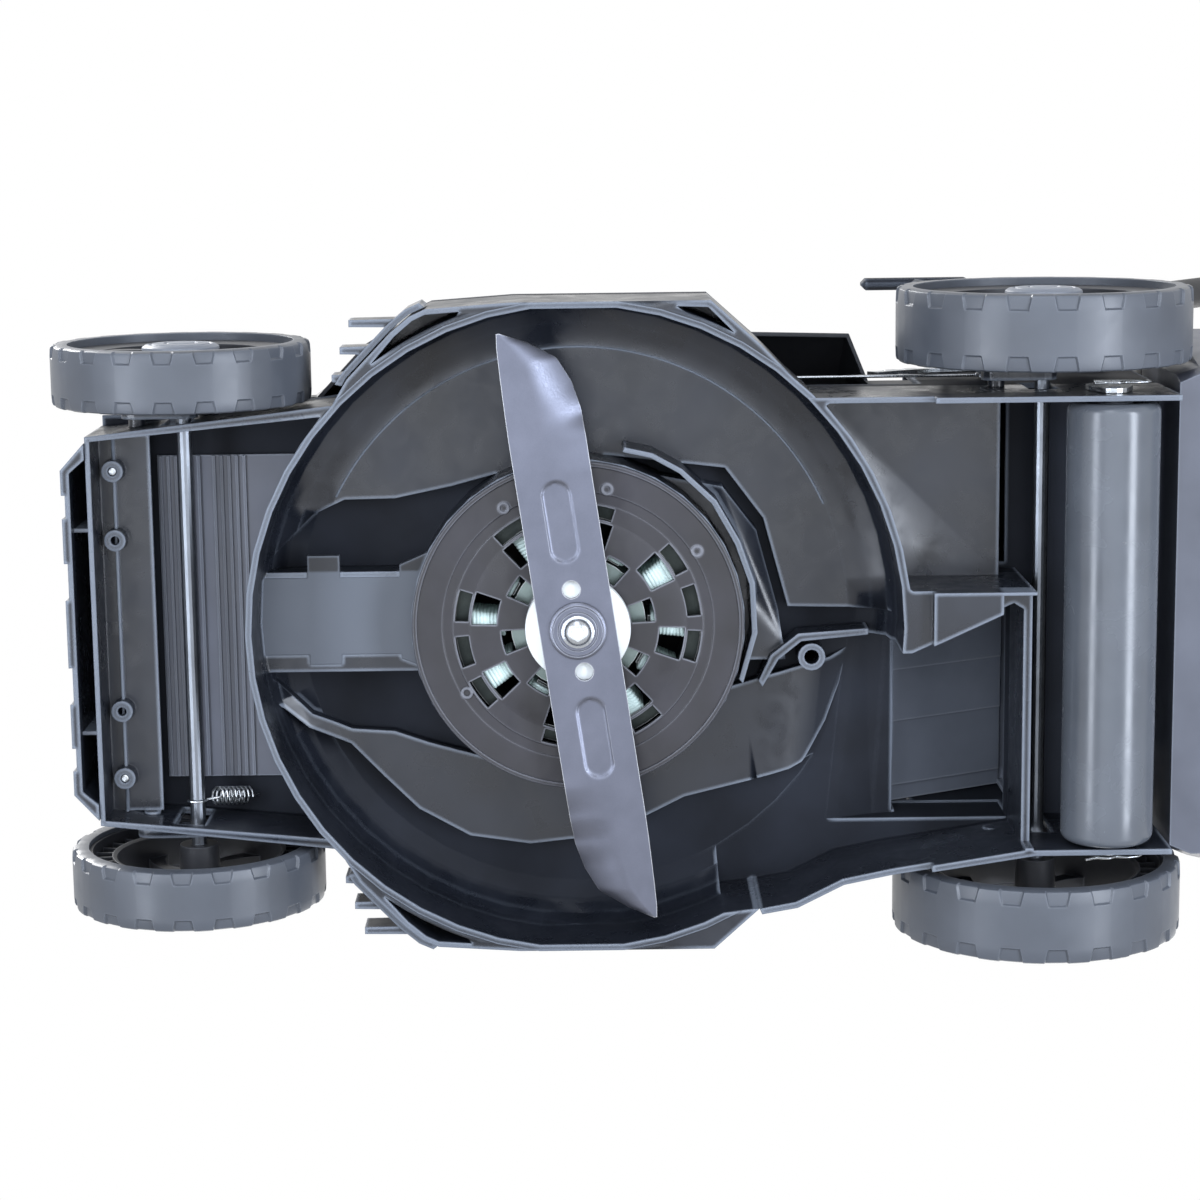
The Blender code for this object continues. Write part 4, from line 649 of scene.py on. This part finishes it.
newPiece("ringed_washer", shape(ringedWasher, boltValues), "bladeSteel", "blade_unit", "blade_washer", 30)
newPiece("domed_bolt", shape(domedBolt, boltValues), "turnedSteel", "blade_unit", "blade_bolt", 40)
newPiece("dished_drive_disc", shape(driveDisc), "paleAcetal", "blade_unit", "drive_disc")
print("blade made")


# motor: the windowed plate below it, and the wound stator seen through the windows

plateValues = {"step": 1.5, "low": 0.058, "top": 0.0616, "lip": 0.0012, "places": 16, "first": 78}
plateMarks = [(0.0775, -0.0465), (-0.043, -0.0725), (0.048, 0.077), (0.0887, 0.0195)]  # round moulding marks


def isWindow(radius, turn, values):
    # three rings of windows: every place outside except each fourth, then odd and even places in turn
    pitch = 360 / values["places"]
    place = round((values["first"] - turn) / pitch)
    off = abs(turn - (values["first"] - place * pitch))
    if 0.0708 < radius < 0.0795:
        return place % 4 != 2 and off < 8
    if 0.0525 < radius < 0.0688:
        return place % 2 == 1 and off < 8.4
    return 0.0345 < radius < 0.0498 and place % 2 == 0 and off < 9.3


def windowedPlate(bm, values):
    # cells between rings and spokes: an open cell is left out and walled
    low, top, lip = values["low"], values["top"], values["lip"]
    rings = [(0.013, 0), (0.0345, 0), (0.0498, 0), (0.0511, 0), (0.0525, 0), (0.0688, 0), (0.07, 0.0004),
             (0.0708, 0.0004), (0.0795, 0), (0.0808, 0), (0.0815, 0.0006), (0.087, 0.0006), (0.0877, 0),
             (0.1036, 0), (0.1042, -lip), (0.1064, -lip), (0.1071, -lip * 0.4)]
    count, cells = round(360 / values["step"]), len(rings) - 1
    lower, upper, gone = [], [], []
    for spoke in range(count):
        turn = radians(spoke * values["step"])
        lower.append([bm.verts.new((r * cos(turn), r * sin(turn), low + lift)) for r, lift in rings])
        upper.append([bm.verts.new((r * cos(turn), r * sin(turn), top)) for r, lift in rings])
        gone.append([isWindow((rings[i][0] + rings[i + 1][0]) / 2, (spoke + 0.5) * values["step"], values)
                     for i in range(cells)])
    for spoke in range(count):
        after = (spoke + 1) % count
        for i in range(cells):
            if gone[spoke][i]:
                continue
            corners = [(spoke, i), (after, i), (after, i + 1), (spoke, i + 1)]
            bm.faces.new([lower[s][r] for s, r in corners])
            bm.faces.new([upper[s][r] for s, r in corners[::-1]])
            beside = [i == 0 or gone[spoke][i - 1], gone[after][i], i == cells - 1 or gone[spoke][i + 1],
                      gone[spoke - 1][i]]
            for (s, r), (nextS, nextR), isOpen in zip(corners, corners[1:] + corners[:1], beside):
                if isOpen:
                    bm.faces.new((lower[s][r], upper[s][r], upper[nextS][nextR], lower[nextS][nextR]))
    lathe(bm, [(0.088, top - 0.0006), (0.1034, top - 0.0006), (0.1034, top + 0.0064), (0.1004, top + 0.0064),
               (0.1, top), (0.088, top)], 96)
    for x, y in plateMarks:
        mark = [(0.0022, low - 0.0005), (0.0026, low - 0.0008), (0.0036, low - 0.0008), (0.004, low - 0.0003),
                (0.004, low + 0.0005), (0.0022, low + 0.0005)]
        lathe(bm, mark, 28, Matrix.Translation((x, y, 0)))
    bm.transform(onAxis)


coilValues = {"count": 12, "inner": 0.047, "outer": 0.0685, "width": 0.0155, "low": 0.0635, "high": 0.104,
              "turns": 9, "bend": 0.0045, "core": (0.0702, 0.1078)}


def statorCore(bm, values):
    # stacked ring with a tooth through each coil
    low, high = values["core"]
    lathe(bm, [(0.07, low), (0.0798, low), (0.0798, high), (0.07, high)], 96)
    unit = bmesh.new()
    block(unit, (0.0452, -0.0045, low), (0.0702, 0.0045, high))
    addRepeated(bm, ringMaker, unit, "darkLaminations", Count=values["count"], Pitch=tau / values["count"])
    bm.transform(onAxis)


def statorCoils(bm, values):
    # each coil is a rounded loop of wire bundles wound round its tooth, ridged turn by turn
    inner, outer, low, high = (values[k] for k in ("inner", "outer", "low", "high"))
    turns, bend = values["turns"], values["bend"]
    unit = bmesh.new()
    loops = []
    for step in range(turns * 4 + 1):
        share = step / (turns * 4)
        ridge = (0, 0.00035, 0.00055, 0.00035)[step % 4]
        width = values["width"] / 2 * (0.86 + 0.3 * share) + ridge
        outline = roundedBox((0, (low + high) / 2), width, (high - low) / 2 + ridge, bend)
        loops.append([unit.verts.new((inner + (outer - inner) * share, y, z)) for y, z in outline])
    skin(unit, loops)
    addRepeated(bm, ringMaker, unit, "coilNylon", Count=values["count"], Pitch=tau / values["count"])
    bm.transform(onAxis)


newPiece("windowed_motor_plate", shape(windowedPlate, plateValues), "plateNylon", "deck", "motor_plate", 30)
newPiece("stacked_stator", shape(statorCore, coilValues), "darkLaminations", "deck", "motor_stator")
newPiece("wound_coils", shape(statorCoils, coilValues), "coilNylon", "deck", None, 40)
print("motor made")


# roller: a seamless sleeve with rolled ends, and the caps that its pins turn in

rollerValues = {"place": (0, 0.0268, 0.0465), "radius": 0.0295, "half": 0.1425, "roll": 0.006, "pin": 0.004,
                "end": 0.152}


def sleeveRoller(bm, values):
    radius, half, roll, pin, end = (values[k] for k in ("radius", "half", "roll", "pin", "end"))
    side = [(radius, half - 0.02)] + arcPoints(roll, 0, 90, 7, (radius - roll, half - roll))
    side += [(radius - 0.0095, half), (radius - 0.0105, half - 0.0016), (0.0125, half - 0.0016),
             (0.0115, half), (pin + 0.003, half), (pin + 0.003, half + 0.001), (pin, half + 0.001),
             (pin, end - 0.0006), (pin - 0.0006, end), (0, end)]
    profile = [(r, -h) for r, h in side[::-1]] + side
    lathe(bm, profile, 96, Matrix.Translation(values["place"]) @ alongX)


newPiece("sleeve_roller", shape(sleeveRoller, rollerValues), "rollerGrey", "roller", "roller", 40)
print("roller made")


# handle: round tubes with end plugs and a ribbed grip sleeve

handleValues = {"pivot": (0.0378, 0.232), "slope": 53, "lower": 0.48, "full": 0.999, "radius": 0.011,
                "wide": 0.188, "narrow": 0.1655, "bend": 0.07, "sleeve": 0.094, "rib": 0.0042}


def onHandle(x, distance, values):
    slope = radians(values["slope"])
    return Vector((x, values["pivot"][0] + distance * cos(slope), values["pivot"][1] + distance * sin(slope)))


def lowerTube(bm, side, values):
    x, radius = side * values["wide"], values["radius"]
    plug = radius * 0.94
    for start, end, thick in ((-0.004, 0.494, radius), (-0.0038, -0.00524, plug), (0.4938, 0.49524, plug)):
        wireThrough(bm, [onHandle(x, start, values), onHandle(x, end, values)], thick, 36)


def upperFrame(bm, values):
    # the U-shaped tube, a little slimmer where the sleeve is pulled over it
    wide, start, full = values["narrow"], values["lower"] - 0.014, values["full"]
    places = ((wide, start), (wide, full), (-wide, full), (-wide, start))
    corners = [onHandle(x, at, values) for x, at in places]
    wireThrough(bm, bentPath(corners, values["bend"], 16), values["radius"] * 0.985, 36)


def ribbedSleeve(bm, middle, ends, first, rib, count, wave, steps):
    # foam sleeve along X: equal ribs between two plain ends
    profile = [(r, -h) for r, h in ends]
    for number in range(count):
        profile += [(r, first + rib * number + rib * share) for share, r in wave]
    lathe(bm, profile + ends[::-1], steps, Matrix.Translation(middle) @ alongX)


def gripSleeve(bm, values):
    half, radius, rib = values["sleeve"], values["radius"], values["rib"]
    ends = [(radius * 0.9, half), (radius, half - 0.0006), (radius, half - 0.005)]
    wave = [(share, radius - drop)
            for share, drop in ((0.05, 0.0011), (0.2, 0.0003), (0.5, 0), (0.8, 0.0003), (0.95, 0.0011))]
    count = int((2 * half - 0.012) / rib)
    ribbedSleeve(bm, onHandle(0, values["full"], values), ends, -half + 0.006, rib, count, wave, 48)


for side, sideName in sides:
    newPiece(f"lower_tube_{sideName}", shape(lowerTube, side, handleValues), "powderCoat", "lower_handle",
             f"lower_handle_{sideName}", 40)
newPiece("upper_tube", shape(upperFrame, handleValues), "powderCoat", "upper_handle", "upper_handle", 40)
newPiece("ribbed_grip_sleeve", shape(gripSleeve, handleValues), "gripFoam", "upper_handle", None, 50)
print("handle made")


# motor cover, carry handle and battery bay

coverValues = {"top": 0.236, "pitch": 0.0085, "depth": 0.0022, "rise": 0.0021, "sides": 8, "edge": 0.0035,
               "taper": [(0, 0.5), (0.002, 0.85), (0.005, 1)], "wire": 0.0009, "mesh": 0.003}
ventBanks = {"front": {"y": -0.078, "count": 9, "half": 0.062},
             "rear": {"y": 0.148, "count": 7, "half": 0.05}}
carryValues = {"x": 0.052, "y": 0.03, "low": 0.2364, "high": 0.2704, "radius": 0.008, "bend": 0.018,
               "sleeve": 0.03}


def slatRow(bm, values):
    # a row of half round slats that taper at both ends
    y, half, top, depth, rise, sides, taper = (
        values[k] for k in ("y", "half", "top", "depth", "rise", "sides", "taper"))
    turns = [radians(180 / sides * number) for number in range(sides + 1)]
    unit = bmesh.new()
    rows = [(inset - half, share) for inset, share in taper]
    rows += [(-x, share) for x, share in rows[::-1]]
    skin(unit, [[unit.verts.new((x, y - depth * share * cos(turn), top + rise * share * sin(turn)))
                 for turn in turns] for x, share in rows])
    addRepeated(bm, rowMaker, unit, "coverAbs", Count=values["count"], Step=(0, values["pitch"], 0))


def bankReach(values):
    return values["y"] - values["pitch"] * 0.9, values["y"] + values["pitch"] * (values["count"] - 0.1)


def ventBank(bm, values):
    # rounded slats in a raised frame
    top, edge = values["top"], values["edge"]
    front, rear = bankReach(values)
    half, out = values["half"], values["half"] + edge
    slatRow(bm, values)
    for x0, x1, y0, y1 in ((-out, out, front - edge, front), (-out, out, rear, rear + edge),
                           (-out, -half, front, rear), (half, out, front, rear)):
        block(bm, (x0, y0, top - 0.0004), (x1, y1, top + 0.0016))
    bm.transform(onAxis)


def ventMesh(bm, values):
    # woven screen under the slats: flat wires both ways
    top, half, wire, gap = (values[k] for k in ("top", "half", "wire", "mesh"))
    front, rear = bankReach(values)
    for low, high, length, step in (
            ((-half, front, top + 0.0001), (-half + wire, rear, top + 0.0005), half * 2, (gap, 0, 0)),
            ((-half, front, top + 0.0002), (half, front + wire, top + 0.0006), rear - front, (0, gap, 0))):
        unit = bmesh.new()
        block(unit, low, high)
        addRepeated(bm, rowMaker, unit, "capPolypropylene", Count=int(length / gap), Step=step)
    bm.transform(onAxis)


def carryLoop(bm, values):
    x, y, low, high = (values[k] for k in ("x", "y", "low", "high"))
    corners = [Vector(p) for p in ((-x, y, low), (-x, y, high), (x, y, high), (x, y, low))]
    screw = [(0.0012, 0.0006), (0.0024, 0.0012), (0.003, 0.0002), (0.003, -0.001), (0.0012, -0.001)]
    wireThrough(bm, bentPath(corners, values["bend"], 10), values["radius"] * 0.97, 28)
    for middle in (-x, x):
        foot = []
        for reachX, reachY, z in ((0.015, 0.018, 0), (0.015, 0.018, 0.0032), (0.0136, 0.0166, 0.0048),
                                  (0.0115, 0.0145, 0.0052)):
            outline = roundedBox((middle, y), reachX, reachY, 0.006)
            foot.append([bm.verts.new((*point, low + z)) for point in outline])
        skin(bm, foot)
        for across in (-0.0105, 0.0105):
            lathe(bm, screw, 20, Matrix.Translation((middle + across, y + 0.012, low + 0.005)))
    bm.transform(onAxis)


def carrySleeve(bm, values):
    half, radius = values["sleeve"], values["radius"]
    ends = [(radius * 0.8, half), (radius + 0.0003, half - 0.0008)]
    wave = [(share, radius + 0.0004 - drop)
            for share, drop in ((0.05, 0.0008), (0.25, 0.0001), (0.75, 0.0001), (0.95, 0.0008))]
    middle = bladeAxis + Vector((0, values["y"], values["high"]))
    ribbedSleeve(bm, middle, ends, -half + 0.002, 0.004, 14, wave, 32)


def lidBars(bm):
    # raised finger bars at the front of the lid, and its hinge knuckles
    for number in range(6):
        half = 0.026 - 0.0016 * number
        path = [Vector((x, -0.206 + 0.0045 * number, 0.2403)) for x in (-half, -half * 0.5, half * 0.5, half)]
        wireThrough(bm, path, 0.0011, 12)
    for x in (-0.046, -0.023, 0, 0.023, 0.046):
        wireThrough(bm, [Vector((x + along, -0.096, 0.24)) for along in (-0.0042, 0.0042)], 0.0031, 20)
    bm.transform(onAxis)


smoothCopy("motor_cover", "coverAbs", "deck", 30, 0.0018)
for bankName, bank in ventBanks.items():
    bank.update(coverValues)
    newPiece(f"{bankName}_vent_slats", shape(ventBank, bank), "coverAbs", "deck")
    newPiece(f"{bankName}_vent_screen", shape(ventMesh, bank), "capPolypropylene", "deck")
newPiece("carry_loop", shape(carryLoop, carryValues), "coverAbs", "deck", "carry_handle", 40)
newPiece("carry_sleeve", shape(carrySleeve, carryValues), "gripFoam", "deck", None, 50)
smoothCopy("battery_lid", "blueAbs", "battery_lid", 30, 0.0009)
newPiece("lid_finger_bars", shape(lidBars), "blueAbs", "battery_lid", None, 40)
smoothCopy("battery_pack", "coverAbs", "battery_pack", 30, 0.0008)
smoothCopy("rear_flap", "coverAbs", "rear_flap", 30, 0.0008)
smoothCopy("height_lever", "deckPolypropylene", "rear_axle", 40, 0.0012)
print("cover made")


# switch box, bail and button, drawn in the frame of the box on the slope

switchValues = {"at": 0.875, "bail": 0.004, "reach": 0.102, "lean": 25, "bend": 0.012,
                "button": (0.136, 0.016)}
onSwitch = Matrix.Translation(onHandle(0, switchValues["at"], handleValues))
onSwitch = onSwitch @ Matrix.Rotation(radians(handleValues["slope"] - 90), 4, "X")
outOfFace = Matrix.Rotation(radians(-90), 4, "X")


def bailWire(bm, values):
    lean, reach = radians(values["lean"]), values["reach"]
    back, up = -reach * sin(lean), reach * cos(lean)
    corners = [(0.124, 0, 0), (0.103, 0, 0), (0.098, back, up), (-0.098, back, up), (-0.103, 0, 0),
               (-0.1538, 0, 0)]
    wireThrough(bm, bentPath([Vector(p) for p in corners], values["bend"], 10), values["bail"], 24)
    bm.transform(onSwitch)


def switchTrim(bm, values):
    # bezel round the button, screws, thumb ribs, the ends of the joint line and the bail's boot
    x, z = values["button"]
    bezel = [(0.0096, -0.001), (0.0127, -0.001), (0.0127, 0.0006), (0.0118, 0.0016), (0.0104, 0.0016),
             (0.0096, 0.0008)]
    lathe(bm, bezel, 48, Matrix.Translation((x, 0.024, z)) @ outOfFace)
    screw = [(0.001, 0.0005), (0.0019, 0.0012), (0.0026, 0.0008), (0.003, 0), (0.001, 0)]
    for screwX in (0.1245, 0.1475):
        for screwZ in (-0.037, 0.037):
            lathe(bm, screw, 20, Matrix.Translation((screwX, 0.0235, screwZ)) @ outOfFace)
    for number in range(6):
        start = Vector((0.1265, 0.0242, -0.026 + 0.0042 * number))
        wireThrough(bm, [start, start + Vector((0.019, 0, 0))], 0.0009, 10)
    for across in (-0.0243, 0.0243):
        wireThrough(bm, [Vector((0.1365, across * 0.98, z)) for z in (-0.038, -0.031)], 0.0007, 8)
    boot = [(0.0047, -0.001), (0.0095, -0.001), (0.009, 0.001), (0.0075, 0.0016), (0.0078, 0.003),
            (0.006, 0.0036), (0.0062, 0.0048), (0.0047, 0.005)]
    lathe(bm, boot, 32, Matrix.Translation((0.118, 0, 0)) @ Matrix.Rotation(radians(-90), 4, "Y"))
    bm.transform(onSwitch)


def ringedButton(bm, values):
    x, z = values["button"]
    profile = [(0, 0), (0.009, 0), (0.009, 0.0106), (0.0082, 0.0115), (0.0066, 0.012), (0.006, 0.0113),
               (0.0052, 0.0112), (0.0046, 0.0119), (0, 0.012)]
    lathe(bm, profile, 48, Matrix.Translation((x, 0.018, z)) @ outOfFace)
    bm.transform(onSwitch)


smoothCopy("switch_box", "coverAbs", "upper_handle", 30, 0.0008)
newPiece("switch_trim", shape(switchTrim, switchValues), "deckPolypropylene", "upper_handle", None, 40)
newPiece("bent_bail", shape(bailWire, switchValues), "deckPolypropylene", "bail_lever", "bail_lever", 50)
newPiece("ringed_button", shape(ringedButton, switchValues), "redAbs", "safety_button", "safety_button", 40)
for side, sideName in sides:
    lever = f"clamp_lever_{sideName}"
    smoothCopy(lever, "deckPolypropylene", lever, 35, 0.0008, f"moulded_clamp_{sideName}")
print("controls made")


# grass box: rounded shells with a row of outlets

boxValues = {"top": 0.276, "pitch": 0.0095, "depth": 0.003, "rise": 0.0028, "sides": 6, "y": 0.536,
             "count": 8, "half": 0.088, "taper": [(0, 0.4), (0.003, 0.9), (0.007, 1)]}
smoothCopy("grass_box", "greyPolypropylene", "grass_box", 30, 0.002, "moulded_box_bin")
smoothCopy("grass_box_lid", "coverAbs", "grass_box", 30, 0.002, "moulded_box_shell")
outlets = shape(slatRow, boxValues)
outlets.transform(onAxis)
newPiece("box_outlets", outlets, "coverAbs", "grass_box")
print("grass box made")


# camera, light and ground

cameraValues = {"place": (0.3286, -0.3013, -1.7278), "turn": (170.104, 0.1685, 90.696), "lens": 84.48,
                "sensor": 36, "far": 50}
camera = placed("camera", bpy.data.cameras.new("camera"))
camera.location = cameraValues["place"]
camera.rotation_euler = [radians(a) for a in cameraValues["turn"]]
camera.data.lens, camera.data.sensor_width = cameraValues["lens"], cameraValues["sensor"]
camera.data.clip_end = cameraValues["far"]
bpy.context.scene.camera = camera

sunValues = {  # from above: the way the light travels, strength, softness in degrees
    "above_key": {"way": (-0.5, 0.55, -0.9), "strength": 2.1, "soft": 20},
    "above_fill": {"way": (0.8, -0.3, -0.7), "strength": 0.9, "soft": 60},
}
softBoxValues = {  # under the machine: place and aim in metres, size across and along, power in watts
    "below_camera": {"place": (0.5, -0.45, -2.3), "aim": (0, -0.31, 0.05), "size": (2.4, 2.4), "power": 34},
    "below_rear": {"place": (0.15, 1.15, -1.35), "aim": (0, -0.1, 0.05), "size": (1.7, 0.5), "power": 46},
    "below_front": {"place": (0.1, -1.75, -1.3), "aim": (0, -0.35, 0.05), "size": (1.7, 0.5), "power": 30},
    "below_side": {"place": (1.5, -0.5, -1.0), "aim": (0, -0.3, 0.05), "size": (0.6, 1.4), "power": 12},
}


def addLamp(name, kind, place, way):
    lamp = bpy.data.lights.new(name, kind)
    holder = placed(name, lamp)
    holder.location = place
    holder.rotation_euler = Vector(way).to_track_quat("-Z", "Y").to_euler()
    return holder, lamp


for lampName, values in sunValues.items():
    holder, lamp = addLamp(lampName, "SUN", (0, 0, 3), values["way"])
    lamp.energy, lamp.angle = values["strength"], radians(values["soft"])
for lampName, values in softBoxValues.items():
    holder, lamp = addLamp(lampName, "AREA", values["place"], Vector(values["aim"]) - Vector(values["place"]))
    lamp.shape, lamp.energy, lamp.color = "RECTANGLE", values["power"], linearColour("#E4ECF9")[:3]
    lamp.size, lamp.size_y = values["size"]
    holder.visible_camera = False

world = bpy.data.worlds.new("studio")
bpy.context.scene.world = world
sky = emptyTree(world)
rays = addNode(sky, "ShaderNodeLightPath").outputs
seen = rays["Is Camera Ray"]
for kind in ("Is Transmission Ray", "Is Glossy Ray"):
    seen = addNode(sky, "ShaderNodeMath", {0: seen, 1: rays[kind]}, operation="MAXIMUM").outputs[0]
white = addNode(sky, "ShaderNodeBackground", {"Color": (1, 1, 1, 1), "Strength": 1.0})
soft = addNode(sky, "ShaderNodeBackground", {"Color": linearColour("#E8EEF8"), "Strength": 0.36})
mixed = addNode(sky, "ShaderNodeMixShader", {0: seen, 1: soft.outputs[0], 2: white.outputs[0]})
addNode(sky, "ShaderNodeOutputWorld", {0: mixed.outputs[0]})

# the ground is seen from above only: from below it lets sight, light and reflections through
groundMaterial = bpy.data.materials.new("pale studio ground")
ground = emptyTree(groundMaterial)
rays = addNode(ground, "ShaderNodeLightPath").outputs
through = addNode(ground, "ShaderNodeNewGeometry").outputs["Backfacing"]
notSeen = addNode(ground, "ShaderNodeMath", {0: 1.0, 1: rays["Is Camera Ray"]}, operation="SUBTRACT")
# away from the machine the paint thins out, so that no edge shows against the white
spot = addNode(ground, "ShaderNodeTexCoord").outputs["Object"]
away = addNode(ground, "ShaderNodeVectorMath", {0: spot}, operation="LENGTH").outputs["Value"]
fade = addNode(ground, "ShaderNodeMapRange", {"Value": away, 1: 1.3, 2: 3.4}, interpolation_type="SMOOTHSTEP")
for share in (rays["Is Shadow Ray"], notSeen.outputs[0], fade.outputs[0]):
    through = addNode(ground, "ShaderNodeMath", {0: through, 1: share}, operation="MAXIMUM").outputs[0]
paint = addNode(ground, "ShaderNodeBsdfDiffuse", {"Color": linearColour("#F2F2F0")})
clear = addNode(ground, "ShaderNodeBsdfTransparent")
either = addNode(ground, "ShaderNodeMixShader", {0: through, 1: paint.outputs[0], 2: clear.outputs[0]})
addNode(ground, "ShaderNodeOutputMaterial", {0: either.outputs[0]})
sheet = bmesh.new()
reach = 40
sheet.faces.new([sheet.verts.new((reach * x, reach * y, 0)) for x, y in ((-1, -1), (1, -1), (1, 1), (-1, 1))])
floor = meshObject("ground", sheet)
floor.data.materials.append(groundMaterial)

bpy.context.scene.view_settings.view_transform = "Standard"

print("scene ready")
